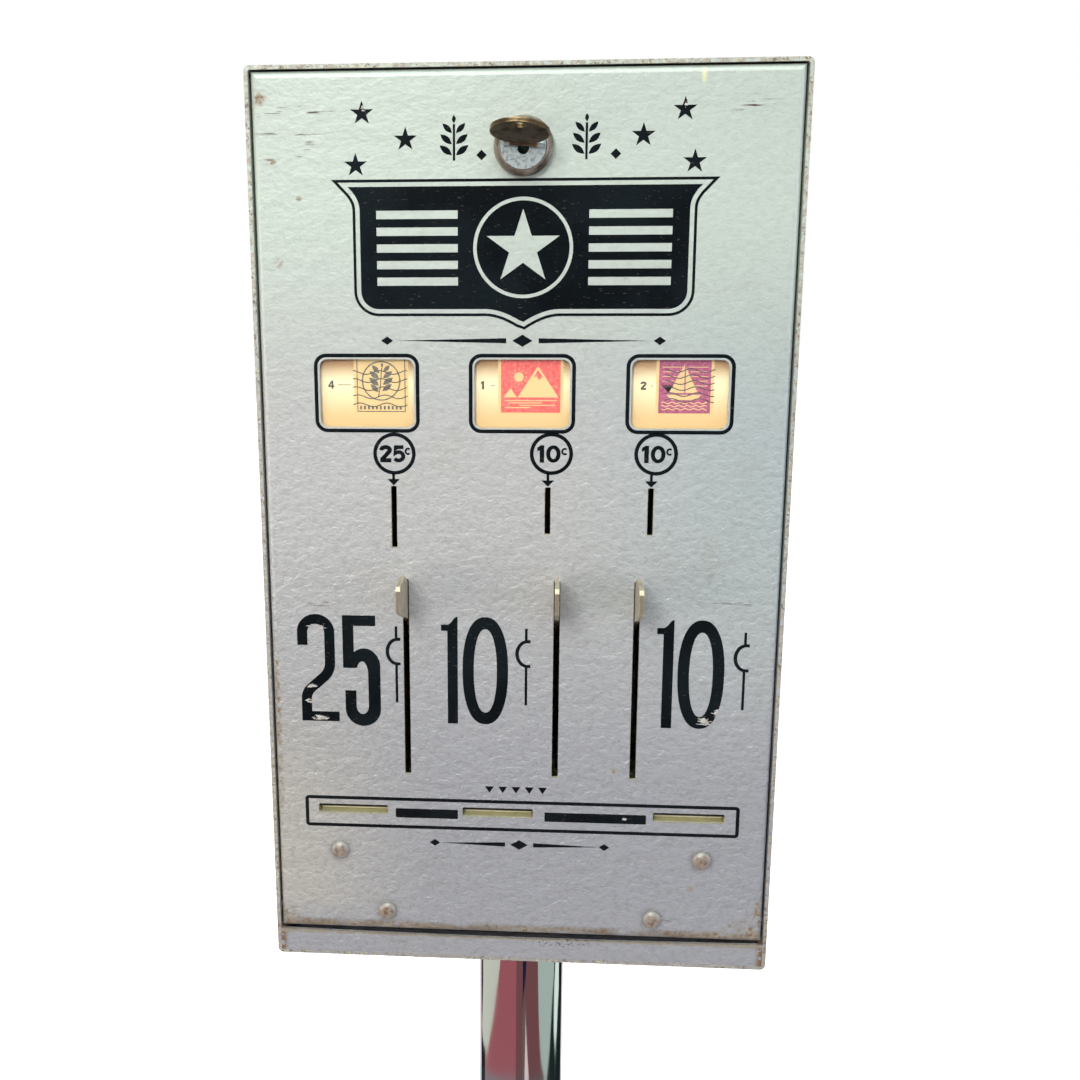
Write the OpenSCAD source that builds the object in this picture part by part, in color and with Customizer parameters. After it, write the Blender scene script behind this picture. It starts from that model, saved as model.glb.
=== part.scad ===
// Coin-operated folder vending machine for postage stamps, on a chromed post with a cast base.
// A sheet-metal housing is closed by a pan-shaped door that drops forward on two bottom pins.
// The door carries everything that vends: three magazines, coin chutes, levers and ejectors.
// Millimetres, +Z up, front towards -Y, origin on the floor under the middle of the post.

/* [Housing] */
// overall width of the housing
box_w = 216; // [210:1:230]
// overall depth of the housing
box_d = 127; // [124:1:150]
// overall height of the housing
box_h = 381; // [378:1:400]
// height of the housing's underside above the floor
box_z = 920; // [600:10:1200]
// thickness of the housing and door sheet
sheet = 1.6; // [1.2:0.1:2]
// outer radius of the housing's four folds
fold_r = 2.4; // [2.2:0.1:4]
// height of the fixed lip under the door
lip_h = 12; // [10:0.5:12]

/* [Door] */
// gap between the door and each side wall
door_gap = 0.8; // [0.5:0.1:1.2]
// gap between the door and the housing's top
top_gap = 0.8; // [0.6:0.1:2]
// gap between the door and the lip
lip_gap = 1.3; // [1:0.1:1.6]
// depth of the door's folded flanges
flange_d = 14; // [12:1:16]
// radius of the door's folded edge
door_r = 2.5; // [2.2:0.1:3]
// diameter of the two hinge pins
hinge_d = 4.8; // [4:0.2:5.2]
// how far the door drops open, degrees
door_open = 75; // [30:1:80]

/* [Front openings] */
// distance between the sample windows
win_pitch = 62.6; // [60:0.1:64]
// width of a sample window
win_w = 38.2; // [30:0.1:40]
// height of a sample window
win_h = 27.8; // [20:0.1:29]
// corner radius of a sample window
win_r = 3.2; // [1:0.1:6]
// height of the windows' middle above the housing's underside
win_z = 253.9; // [250:0.1:262]
// top of the coin slots
coin_top = 215.8; // [210:0.1:218]
// length of the outlet slots
outlet_w = 30.4; // [30:0.1:32]
// height of the outlet slots
outlet_h = 4.2; // [3:0.1:5]

/* [Vending stations] */
// side of the lever that each magazine stands on
mag_side = [-1, -1, 1];
// coin diameters taken by the three slots
coin_d = [24.3, 17.9, 17.9];
// distance from a lever to the middle of its magazine
mag_off = 24.4; // [24:0.1:26]
// distance from a lever to its coin slot
coin_off = 4.3; // [4.2:0.1:4.6]
// length of a stamp folder
folder_l = 46; // [40:1:46]
// width of a stamp folder
folder_w = 29.6; // [26:0.2:29.8]
// thickness of a stamp folder
folder_t = 1.2; // [0.8:0.1:1.4]
// height of the stock of folders in each magazine
stock = [104, 92, 112];

/* [Levers] */
// how far back from the door's face the levers turn
pivot_y = 100; // [98:1:102]
// height of the lever shaft above the housing's underside
pivot_z = 132.2; // [131:0.1:133]
// lever travel, degrees
lever_turn = 37.8; // [20:0.1:37.8]
// ejector travel
eject = 33; // [20:1:33]
// thickness of the lever plates
lever_t = 1.8; // [1.5:0.1:2]
// diameter of the lever shaft
shaft_d = 8; // [6:0.5:9]
// diameter of the drive pin that runs in each cam slot
drive_d = 4; // [3:0.2:4.4]
// running clearance on pins and shafts, on the diameter
run_fit = 0.1; // [0.06:0.02:0.16]

/* [Lock] */
// distance from the housing's top down to the lock
lock_drop = 31; // [28:0.5:60]
// diameter of the domed lock bezel
bezel_d = 23; // [22:0.5:26]
// diameter of the lock plug
plug_d = 17.2; // [14:0.2:17.4]
// how far the plug stands out of the door
plug_out = 8; // [5:0.5:9]
// diameter of the brass disc
disc_d = 22.2; // [18:0.1:24]
// distance from the disc's pin to its middle
disc_reach = 11.6; // [11:0.1:14]
// how far the disc sits to the left of its tab
disc_shift = 1.4; // [0:0.1:2]
// resting slope of the disc above level, degrees
disc_tilt = 20.4; // [0:0.2:60]
// how far the disc's pin dips to the right, degrees
disc_roll = 4; // [0:0.5:6]

/* [Stand] */
// diameter of the chromed post
post_d = 41.3; // [38:0.1:45]
// wall of the post tube
post_wall = 1.65; // [1.2:0.05:3]
// diameter of the cast base
base_d = 356; // [320:4:420]
// height of the cast base's hub
base_hub_h = 74; // [60:1:90]

/* [Hidden] */

LEFT = 0;
MIDDLE = 1;
RIGHT = 2;
eps = 0.01;
fine = 48;
in_w = box_w - 2 * sheet;
half_in = in_w / 2;
in_top = box_h - sheet;
door_w = in_w - 2 * door_gap;
door_top = in_top - top_gap;
door_bot = lip_h + lip_gap;
door_h = door_top - door_bot;
// hinge axis, behind and above the lip so that the door's folded edge clears it
hinge_y = 7;
hinge_z = door_bot + 7;
hub_d = 16;
// levers across the front, left to right
lever_x = box_w * [-2 / 9, 5 / 72, 2 / 9];
stay_r = 50;
stay_a = 70;
stay_d = 5;
back_flange = 12;
bracket_t = 1.5;
// mechanism levels
deck_t = 1.5;
deck_z = 69.2;
deck_x = half_in - 9.4;
deck_back = box_d - 15;
gate = deck_z + 0.1 + folder_t;
mag_t = 1;
mag_y = 3.2;
mag_in = folder_l + 0.8;
mag_top = 232;
mag_half = folder_w / 2 + 0.5;
slot_w = 2.6;
slot_z = [88.4, 176.2];
rod_z = 76;
rod_d = 5;
arm_off = 2.7;
arm_t = 2;
block_w = 8;
pin_y = 70;
// ejector travel for each degree that the lever turns
cam_rate = eject / lever_turn;
chute_gap = 2.2;
chute_t = 0.8;
weight_h = 14;
lock_z = box_h - lock_drop;
disc_y = -plug_out - 1.6;
disc_up = 1.1;
base_z = 4;
seat_z = 22;
flange_t = 5;
collar_h = 14;
bolt_pcd = 78;

silver = "#c6c9c8";
bright = "#c9ccd0";
steel = "#8d9196";
brass = "#9c8352";

function mag_x(i) = lever_x[i] + mag_side[i] * mag_off;
function coin_x(i) = lever_x[i] + mag_side[i] * coin_off;
function arm_x(i) = lever_x[i] - mag_side[i] * arm_off;
// a point of the (y, z) plane turned about the lever shaft
function turned(p, a) = [
    pivot_y + (p[0] - pivot_y) * cos(a) - (p[1] - pivot_z) * sin(a),
    pivot_z + (p[0] - pivot_y) * sin(a) + (p[1] - pivot_z) * cos(a)];

// ---------- helpers ----------
// moves a piece drawn from the door's face and the housing's underside into the part's frame
module in_box() {
    translate([0, -box_d / 2, box_z]) children();
}

module rounded(w, h, r) {
    square([w - 2 * r, h], center = true);
    square([w, h - 2 * r], center = true);
    for (x = [-1, 1], y = [-1, 1])
        translate([x * (w / 2 - r), y * (h / 2 - r)]) circle(r = r, $fn = fine);
}

// a block given by its limits
module span(x, y, z) {
    translate([x[0], y[0], z[0]]) cube([x[1] - x[0], y[1] - y[0], z[1] - z[0]]);
}

// a profile drawn in (x, z), extruded backwards from y
module along_y(y, d) {
    translate([0, y + d, 0]) rotate([90, 0, 0]) linear_extrude(d) children();
}

// a profile drawn in (y, z), extruded from x towards +X
module along_x(x, w) {
    translate([x, 0, 0]) rotate([90, 0, 90]) linear_extrude(w) children();
}

module rod_x(x, y, z, d) {
    translate([x[0], y, z]) rotate([0, 90, 0]) cylinder(d = d, h = x[1] - x[0], $fn = fine);
}

module rod_y(x, y, z, d) {
    translate([x, y[1], z]) rotate([90, 0, 0]) cylinder(d = d, h = y[1] - y[0], $fn = fine);
}

// a domed head that stands out towards -Y, drawn from its flat back
module dome_y(d, h) {
    r = (d * d / 4 + h * h) / (2 * h);
    rotate([90, 0, 0]) rotate_extrude($fn = fine) intersection() {
        translate([0, h - r]) circle(r = r, $fn = 2 * fine);
        square([d / 2, h]);
    }
}

// ---------- housing ----------
module housing_shell() {
    color(silver) in_box() difference() {
        translate([0, 0, box_h / 2]) along_y(0, box_d) rounded(box_w, box_h, fold_r);
        translate([0, 0, box_h / 2]) along_y(-1, box_d + 2)
            rounded(in_w, box_h - 2 * sheet, fold_r - sheet);
        for (x = [-1, 1], y = [-1, 1])
            translate([x * bolt_pcd / 2 / sqrt(2), box_d / 2 + y * bolt_pcd / 2 / sqrt(2), -1])
                cylinder(d = 6.6, h = sheet + 2, $fn = fine);
    }
}

// keyhole slots let the housing hang on a wall instead of a post
module keyhole() {
    circle(d = 10, $fn = fine);
    translate([-2.6, 0]) square([5.2, 10]);
    translate([0, 10]) circle(d = 5.2, $fn = fine);
}

module back_panel() {
    inner = in_w - 2 * sheet;
    color(silver) in_box() difference() {
        translate([0, 0, box_h / 2]) along_y(box_d - back_flange, back_flange)
            rounded(in_w, box_h - 2 * sheet, fold_r - sheet);
        translate([0, 0, box_h / 2]) along_y(box_d - back_flange - 1, back_flange + 1 - sheet)
            square([inner, box_h - 4 * sheet], center = true);
        for (s = [-1, 1]) translate([s * (half_in - 36.4), 0, box_h - 81])
            along_y(box_d - 3, 4) keyhole();
    }
}

// folded angle that closes the front below the door, with a weld tab at each end
module bottom_lip() {
    dip = 1.1;
    color(silver) in_box() {
        // its top edge is worn and bent down a little in the middle
        along_y(0, sheet) polygon(concat([[-half_in, sheet], [half_in, sheet]],
            [for (k = [16:-1:0]) let (u = k / 8 - 1) [u * half_in, lip_h - dip * (1 - u * u)]]));
        span([-half_in, half_in], [0, 13], [sheet, 2 * sheet]);
        for (s = [-1, 1])
            span([s > 0 ? half_in - sheet : -half_in, s > 0 ? half_in : sheet - half_in],
                 [0, 13], [sheet, lip_h - 0.5]);
    }
}

module hinge_pins() {
    color(steel) in_box() for (s = [-1, 1])
        rod_x(s > 0 ? [half_in - 9, half_in] : [-half_in, -half_in + 9], hinge_y, hinge_z, hinge_d);
}

function stay_yz() = [hinge_y + stay_r * cos(stay_a), hinge_z + stay_r * sin(stay_a)];

module stay_studs() {
    p = stay_yz();
    color(steel) in_box() for (s = [-1, 1]) {
        rod_x(s > 0 ? [half_in - 6.2, half_in] : [-half_in, -half_in + 6.2], p[0], p[1], stay_d);
        rod_x(s > 0 ? [half_in - 7.7, half_in - 6.2] : [-half_in + 6.2, -half_in + 7.7],
              p[0], p[1], stay_d + 4);
    }
}

module lock_strike() {
    color(steel) in_box() difference() {
        union() {
            span([-16, 16], [18.4, 44], [in_top - 2, in_top]);
            span([-16, 16], [18.4, 20.4], [in_top - 15.4, in_top]);
        }
        for (x = [-9, 9]) translate([x, 36, in_top - 3]) cylinder(d = 4, h = 4, $fn = fine);
    }
}

module cash_box() {
    w = in_w - 26.8;
    y = [22, box_d - 11];
    z = [5, 54];
    t = 1.2;
    runner = [y[0], box_d - back_flange - 1];
    color(steel) in_box() difference() {
        union() {
            span([-w / 2, w / 2], y, z);
            // rolled rim and two runners that lift the tray over the flange bolts
            span([-w / 2 - 1.6, w / 2 + 1.6], [y[0] - 1.6, y[1] + 1.6], [z[1] - 4, z[1]]);
            for (x = [-w / 2 + 13, w / 2 - 21]) span([x, x + 8], runner, [sheet, z[0] + eps]);
        }
        span([-w / 2 + t, w / 2 - t], [y[0] + t, y[1] - t], [z[0] + t, z[1] + 1]);
        for (x = [-1, 1]) translate([x * 22, 0, 40]) rotate([90, 0, 0])
            translate([0, 0, -y[0] - t - 0.5]) cylinder(d = 9, h = t + 1, $fn = fine);
    }
}

// ---------- stand ----------
module post_flange() {
    color(steel) difference() {
        union() {
            translate([0, 0, box_z - flange_t]) cylinder(d = 104, h = flange_t, $fn = fine);
            translate([0, 0, box_z - flange_t - collar_h]) cylinder(d = 53, h = collar_h + 1, $fn = fine);
        }
        translate([0, 0, box_z - flange_t - collar_h - 1])
            cylinder(d = post_d, h = collar_h + 1, $fn = fine);
        for (a = [45:90:315]) rotate(a) translate([bolt_pcd / 2, 0, box_z - flange_t - 1])
            cylinder(d = 6.6, h = flange_t + 2, $fn = fine);
        rotate(90) translate([0, 0, box_z - flange_t - collar_h / 2]) rotate([0, 90, 0])
            cylinder(d = 6, h = 40, $fn = fine);
    }
}

module flange_bolts() {
    color(bright) for (a = [45:90:315]) rotate(a) translate([bolt_pcd / 2, 0, box_z]) {
        translate([0, 0, sheet]) rotate([-90, 0, 0]) dome_y(15, 2.8);
        translate([0, 0, -flange_t - 8]) cylinder(d = 6.2, h = flange_t + sheet + 8 + eps, $fn = fine);
        translate([0, 0, -flange_t - 5.5]) cylinder(d = 11.5, h = 5.5, $fn = 6);
    }
}

module post() {
    color("#b9bdc4") difference() {
        translate([0, 0, seat_z]) cylinder(d = post_d, h = box_z - flange_t - seat_z, $fn = 2 * fine);
        translate([0, 0, seat_z - 1])
            cylinder(d = post_d - 2 * post_wall, h = box_z, $fn = 2 * fine);
    }
}

// profile of the cast base: a shallow dome with a rolled rim and a tapered hub
module base_profile() {
    r = base_d / 2;
    rim = 9;
    hub = 36;
    top = 46;
    edge = base_z + 20;
    cz = (pow(hub + 20, 2) + top * top - pow(r - rim, 2) - edge * edge) / (2 * (top - edge));
    dome = norm([r - rim, edge - cz]);
    difference() {
        union() {
            intersection() {
                translate([0, cz]) circle(r = dome, $fn = 4 * fine);
                translate([0, base_z]) square([r - rim, base_hub_h]);
            }
            translate([r - rim, edge - rim]) circle(r = rim, $fn = fine);
            translate([r - rim - 2, base_z]) square([rim + 2, edge - rim - base_z]);
            polygon([[0, base_z], [hub + 6, base_z], [hub + 2, top], [hub - 6, base_hub_h - 3],
                [hub - 9, base_hub_h], [0, base_hub_h]]);
            // fillet where the dome runs up into the hub
            difference() {
                translate([0, top - 6]) square([hub + 16, 18]);
                translate([hub + 16, top + 12]) circle(r = 16, $fn = fine);
            }
        }
        intersection() {
            translate([0, cz]) circle(r = dome - 9, $fn = 4 * fine);
            translate([hub + 6, -1]) square([r - rim - hub - 12, base_hub_h]);
        }
        translate([0, seat_z]) square([post_d / 2, base_hub_h]);
        translate([0, -1]) square([9, seat_z + 2]);
    }
}

module stand_base() {
    color("#2b2d2f") difference() {
        rotate_extrude($fn = 3 * fine) base_profile();
        for (a = [0, 120, 240]) rotate(a + 90) translate([10, 0, 60]) rotate([0, 90, 0])
            cylinder(d = 6, h = 40, $fn = fine);
    }
}

module base_screws() {
    color(steel) {
        for (a = [0, 120, 240]) rotate(a + 90) translate([post_d / 2, 0, 60]) rotate([0, 90, 0])
            difference() {
                cylinder(d = 6, h = 9, $fn = fine);
                translate([0, 0, 5]) cylinder(d = 3.2, h = 5, $fn = 6);
            }
        rotate(90) translate([post_d / 2, 0, box_z - flange_t - collar_h / 2]) rotate([0, 90, 0])
            cylinder(d = 6, h = 5.5, $fn = fine);
    }
}

module base_feet() {
    color("#1c1c1c") for (a = [45:90:315]) rotate(a) translate([base_d / 2 - 9, 0, 0]) {
        cylinder(d1 = 15, d2 = 17, h = base_z, $fn = fine);
    }
}

// ---------- door ----------
module pan(grow, back) {
    w = door_w + 2 * grow;
    h = door_h + 2 * grow;
    r = door_r + grow;
    intersection() {
        // folds along the top and bottom edges
        along_x(-w / 2, w) translate([back / 2 - grow / 2, door_bot + door_h / 2])
            rounded(back + grow, h, r);
        // folds along the two sides
        translate([0, 0, door_bot - grow]) linear_extrude(h)
            translate([0, back / 2 - grow / 2]) rounded(w, back + grow, r);
    }
}

module door_openings() {
    for (i = [-1:1]) translate([i * win_pitch, 0, win_z]) along_y(-1, sheet + 2)
        rounded(win_w, win_h, win_r);
    for (i = [LEFT:RIGHT]) {
        c = coin_d[i] + 1.9;
        translate([coin_x(i), 0, coin_top - c / 2]) along_y(-1, sheet + 2) rounded(2.3, c, 0.5);
        translate([lever_x[i], 0, (slot_z[0] + slot_z[1]) / 2]) along_y(-1, sheet + 2)
            rounded(slot_w, slot_z[1] - slot_z[0], 0.5);
        translate([mag_x(i), 0, deck_z + outlet_h / 2]) along_y(-1, sheet + 2)
            rounded(outlet_w, outlet_h, 0.8);
    }
    rod_y(0, [-1, sheet + 1], lock_z, 20);
    for (p = rivet_xz()) rod_y(p[0], [-1, sheet + 1], p[1], 4);
}

function rivet_xz() = [for (s = [-1, 1]) each [[s * (half_in - 27.8), 51.6], [s * (half_in - 48.2), 22.6]]];

module door_panel() {
    long = 2 * flange_d;
    color(silver) in_box() difference() {
        intersection() {
            pan(0, long);
            span([-box_w, box_w], [-1, flange_d], [0, box_h]);
        }
        pan(-sheet, long + sheet);
        door_openings();
        for (s = [-1, 1]) rod_x([s * door_w / 2 - 3, s * door_w / 2 + 3], hinge_y, hinge_z,
                                hinge_d + run_fit);
        // thumb notches in the top flange
        for (x = [-60, 60]) translate([x, flange_d, door_top - 3]) cylinder(d = 12, h = 6, $fn = fine);
    }
}

// bearing plates inside the side flanges; a curved slot in each rides on a stud and stops the door
module hinge_plates() {
    t = 2;
    front = sheet + 0.4 - hinge_y;
    color(steel) in_box() for (s = [-1, 1])
        translate([s > 0 ? door_w / 2 - sheet - t : -door_w / 2 + sheet, hinge_y, hinge_z])
            rotate([90, 0, 90]) linear_extrude(t) difference() {
                intersection() {
                    circle(r = stay_r + 7, $fn = 2 * fine);
                    polygon([[front, -5], [8, -5], [26, -13], [60, -13], [60, 60], [front, 60]]);
                }
                circle(d = hinge_d + run_fit, $fn = fine);
                translate([20, 18]) circle(d = 18, $fn = fine);
                arc_slot(stay_a - door_open, stay_a, stay_r, stay_d + 0.6);
            }
}

// an annular slot from angle a0 to a1
module arc_slot(a0, a1, r, w) {
    intersection() {
        difference() {
            circle(r = r + w / 2, $fn = 2 * fine);
            circle(r = r - w / 2, $fn = 2 * fine);
        }
        polygon([[0, 0], for (k = [0:3]) 2 * r * [cos(a0 + k * (a1 - a0) / 3), sin(a0 + k * (a1 - a0) / 3)]]);
    }
    for (a = [a0, a1]) translate(r * [cos(a), sin(a)]) circle(d = w, $fn = fine);
}

// riveted angles that carry the mechanism deck
module door_brackets() {
    low = deck_z - deck_t;
    color(steel) in_box() for (s = [-1, 1]) {
        difference() {
            translate([s * half_in, 0, 0]) along_y(sheet, bracket_t)
                polygon([[-s * 16.4, low], [-s * 16.4, 46], [-s * 40.4, 15.4], [-s * 56.4, 15.4],
                    [-s * 56.4, 30], [-s * 44.4, low]]);
            for (p = rivet_xz()) rod_y(p[0], [0, 5], p[1], 4);
        }
        // gusset that reaches back under the deck, clear of the cash box
        along_x(s * (half_in - 37.4) - bracket_t / 2, bracket_t)
            polygon([[sheet + bracket_t - 0.1, 46], [14, 56], [62, low - 3], [62, low],
                [sheet + bracket_t - 0.1, low]]);
    }
}

module door_rivets() {
    color(bright) in_box() for (p = rivet_xz()) translate([p[0], 0, p[1]]) {
        dome_y(8.4, 2.2);
        rod_y(0, [-eps, sheet + bracket_t], 0, 4);
        translate([0, sheet + bracket_t, 0]) rotate([180, 0, 0]) dome_y(7, 1.6);
    }
}

module window_panes() {
    color("#cfe0e0", 0.4) in_box() for (i = [-1:1])
        translate([i * win_pitch, 0, win_z]) along_y(sheet, 0.8) square([43, 33], center = true);
}

module sample_card(i) {
    color("#e9d9a6") in_box() translate([(i - 1) * win_pitch, 0, win_z])
        along_y(sheet + 0.8, 0.6) square([42.6, 32.6], center = true);
}

module card_frames() {
    color(bright) in_box() for (i = [-1:1]) translate([i * win_pitch, 0, win_z]) difference() {
        span([-24, 24], [sheet, sheet + 2.2], [-18.2, 17]);
        span([-21.6, 21.6], [0, sheet + 1.4], [-16.6, 18]);
        span([-14, 14], [0, 6], [-10, 20]);
    }
}

// ---------- mechanism ----------
module mechanism_deck() {
    color(steel) in_box() difference() {
        union() {
            span([-deck_x, deck_x], [sheet, deck_back], [deck_z - deck_t, deck_z]);
            span([56.4 - half_in, half_in - 56.4], [sheet, sheet + deck_t], [deck_z - 14, deck_z]);
            for (s = [-1, 1]) along_x(s > 0 ? deck_x - deck_t : -deck_x, deck_t)
                polygon([[4, deck_z - eps], [deck_back, deck_z - eps], [deck_back, 140],
                    [107, 145], [93, 145], [60, 112], [30, 92], [4, 92]]);
            for (i = [LEFT:RIGHT], y = [24, 93])
                span([arm_x(i) - 5, arm_x(i) + 5], [y, y + 3], [deck_z - eps, rod_z + 5]);
        }
        rod_x([-deck_x - 1, deck_x + 1], pivot_y, pivot_z, shaft_d);
        for (i = [LEFT:RIGHT]) {
            rod_y(arm_x(i), [23, 97], rod_z, rod_d);
            // coins drop through here into the cash box
            span([coin_x(i) - 2.4, coin_x(i) + 2.4], [sheet + 3, sheet + coin_d[i] + 6],
                 [deck_z - 20, deck_z + 1]);
        }
    }
}

module guide_rods() {
    color(bright) in_box() for (i = [LEFT:RIGHT]) rod_y(arm_x(i), [22.5, 97.5], rod_z, rod_d);
}

module lever_shaft() {
    color(bright) in_box() {
        rod_x([-deck_x - 1.5, deck_x + 1.5], pivot_y, pivot_z, shaft_d);
        for (s = [-1, 1]) rod_x(s > 0 ? [deck_x, deck_x + 1.5] : [-deck_x - 1.5, -deck_x],
                                pivot_y, pivot_z, shaft_d + 5);
    }
}

// where each lever hub ends, on the plate's far side and on the boss side
function hub_x(i) = [lever_x[i] - (mag_side[i] > 0 ? lever_t / 2 : 13),
                     lever_x[i] + (mag_side[i] > 0 ? 13 : lever_t / 2)];

module shaft_collars() {
    color(brass) in_box() difference() {
        for (i = [LEFT:RIGHT]) {
            h = hub_x(i);
            rod_x([h[0] - 5.4, h[0] - 0.4], pivot_y, pivot_z, 15);
            rod_x([h[1] + 0.4, h[1] + 5.4], pivot_y, pivot_z, 15);
        }
        rod_x([-90, 90], pivot_y, pivot_z, shaft_d);
    }
}

// torsion springs wound over the lever hubs; one leg bears on the deck
module lever_springs() {
    wire = 1.1;
    coil = hub_d + wire + 0.3;
    turns = 7;
    color(steel) in_box() for (i = [LEFT:RIGHT]) {
        x0 = lever_x[i] + mag_side[i] * 3;
        x1 = x0 + mag_side[i] * (turns - 1) * wire * 0.94;
        translate([0, pivot_y, pivot_z]) rotate([0, 90, 0]) rotate_extrude($fn = fine)
            for (k = [0:turns - 1])
                translate([coil / 2, x0 + mag_side[i] * k * wire * 0.94]) circle(d = wire, $fn = 24);
        translate([x1, pivot_y + coil / 2, deck_z])
            cylinder(d = wire, h = pivot_z - deck_z, $fn = 24);
    }
}

// U-shaped magazine with front lips; the rear wall is split so the stock can be seen
module magazine(i) {
    half = mag_half + mag_t;
    y1 = mag_y + mag_t;
    y2 = y1 + mag_in;
    inner = -mag_side[i];
    color(bright) in_box() translate([mag_x(i), 0, 0]) difference() {
        union() {
            span([-half, half], [mag_y, y2 + mag_t], [deck_z, mag_top]);
            // foot flanges on the deck
            for (s = [-1, 1]) span([s > 0 ? half - eps : -half - 5, s > 0 ? half + 5 : -half + eps],
                                   [34, 50], [deck_z, deck_z + 1]);
        }
        span([-mag_half, mag_half], [y1, y2], [deck_z - 1, mag_top + 1]);
        // front: gate for one folder, and an open strip
        span([-mag_half, mag_half], [mag_y - 1, y1 + eps], [deck_z - 1, gate + 0.35]);
        span([-9, 9], [mag_y - 1, y1 + eps], [gate + 16, mag_top - 12]);
        // rear: gap for the ejector blade, and a sight slot
        span([-mag_half, mag_half], [y2 - eps, y2 + 2], [deck_z - 1, gate + 0.5]);
        span([-7, 7], [y2 - eps, y2 + 2], [gate + 12, mag_top + 1]);
        // side wall and foot cut back for the ejector's link
        span([inner > 0 ? mag_half - eps : -half - 6, inner > 0 ? half + 6 : -mag_half + eps],
             [30, y2 + 2], [deck_z - 1, deck_z + 3.4]);
    }
}

module folder_stack(i) {
    y1 = mag_y + mag_t + 0.4;
    h = stock[i];
    color("#e6dcc0") in_box() translate([mag_x(i), 0, gate + 0.25]) {
        n = 8;
        // the folders lie in slightly uneven bundles
        for (k = [0:n - 1]) span([-folder_w / 2 + (k % 3) * 0.1, folder_w / 2 - (k % 2) * 0.15],
                                 [y1 + (k % 2) * 0.15, y1 + folder_l - (k % 3) * 0.12],
                                 [k * h / n, (k + 1) * h / n + (k < n - 1 ? eps : 0)]);
    }
}

module next_folder(i) {
    y1 = mag_y + mag_t + 0.4;
    color("#efe6cb") in_box() translate([mag_x(i), 0, 0])
        span([-folder_w / 2, folder_w / 2], [y1, y1 + folder_l], [deck_z + 0.1, gate]);
}

// weight with a finger ring that presses the stock down
module follower(i) {
    y1 = mag_y + mag_t + 1;
    z0 = gate + 0.25 + stock[i] + 0.3;
    w = folder_w / 2 - 0.6;
    color("#5c6066") in_box() translate([mag_x(i), 0, z0]) difference() {
        union() {
            span([-w, w], [y1, y1 + mag_in - 2], [0, weight_h]);
            translate([0, y1 + mag_in / 2 - 1, weight_h + 5]) rotate([0, 90, 0])
                translate([0, 0, -1.5]) cylinder(d = 15, h = 3, $fn = fine);
        }
        translate([-3, y1 + mag_in / 2 - 1, weight_h + 5]) rotate([0, 90, 0])
            cylinder(d = 8, h = 6, $fn = fine);
    }
}

// upright channel that a coin falls down; its window shows the coin to the lever's stud
module coin_chute(i) {
    y2 = sheet + 0.6 + coin_d[i] + 1.2;
    half = chute_gap / 2 + chute_t;
    top = coin_top + 4;
    heel = 8;
    far = mag_side[i];
    color(brass) in_box() translate([coin_x(i), 0, 0]) difference() {
        along_x(-half, 2 * half) polygon([[sheet, deck_z], [y2 + chute_t, deck_z],
            [y2 + chute_t, top - heel], [y2 + chute_t - heel, top], [sheet, top]]);
        along_x(-chute_gap / 2, chute_gap) polygon([[0, deck_z - 1], [y2, deck_z - 1],
            [y2, top - heel - 0.3], [y2 - heel + 0.3, top - chute_t], [0, top - chute_t]]);
        // the wall beside the lever is open where the stud swings
        span([far > 0 ? -half - 1 : 0, far > 0 ? 0 : half + 1], [8.6, 20.6], [95, 169]);
    }
}

// ---------- moving pieces ----------
// centre line of the cam slot, found by turning the drive pin's straight path with the lever
function cam_path(n) = [for (k = [0:n]) let (a = k * lever_turn / n)
    turned([pin_y - cam_rate * a, pivot_z], -a)];

function normal_at(p, k) = let (
    a = p[max(k - 1, 0)], b = p[min(k + 1, len(p) - 1)], d = (b - a) / norm(b - a)) [-d[1], d[0]];

module cam_slot() {
    p = cam_path(24);
    w = drive_d / 2 + 0.15;
    polygon(concat([for (k = [0:24]) p[k] + w * normal_at(p, k)],
                   [for (k = [24:-1:0]) p[k] - w * normal_at(p, k)]));
    for (q = [p[0], p[24]]) translate(q) circle(r = w, $fn = fine);
}

module lever(i) {
    side = mag_side[i];
    stud = turned([pivot_y - 88, pivot_z], -lever_turn / 2);
    h = hub_x(i);
    color("#a89f86") in_box() difference() {
        union() {
            along_x(lever_x[i] - lever_t / 2, lever_t) {
                polygon([[-30, 171.1], [-30, 179.6], [-28.6, 181.2], [-12.5, 181.2], [0, 175.5],
                    [10, 174.6], [34, 178], [52, 178.5], [60, 170], [66, 156], [76, 146], [93, 141.5],
                    [pivot_y, pivot_z], [98, 122], [76, 122.5], [60, 125], [44, 134.5], [12, 152.8],
                    [0, 159.2], [-20, 166.4]]);
                translate([pivot_y, pivot_z]) circle(r = 11.5, $fn = 2 * fine);
            }
            rod_x(h, pivot_y, pivot_z, hub_d);
            // stud that meets the coin in its chute
            rod_x(side > 0 ? [lever_x[i], lever_x[i] + 2.7] : [lever_x[i] - 2.7, lever_x[i]],
                  stud[0], stud[1], 3);
        }
        rod_x([h[0] - 1, h[1] + 1], pivot_y, pivot_z, shaft_d + run_fit);
        along_x(lever_x[i] - 3, 6) cam_slot();
        // lightening hole in the arm
        translate([lever_x[i] - 3, 30, 160]) rotate([0, 90, 0]) cylinder(d = 12, h = 6, $fn = fine);
    }
}

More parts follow.
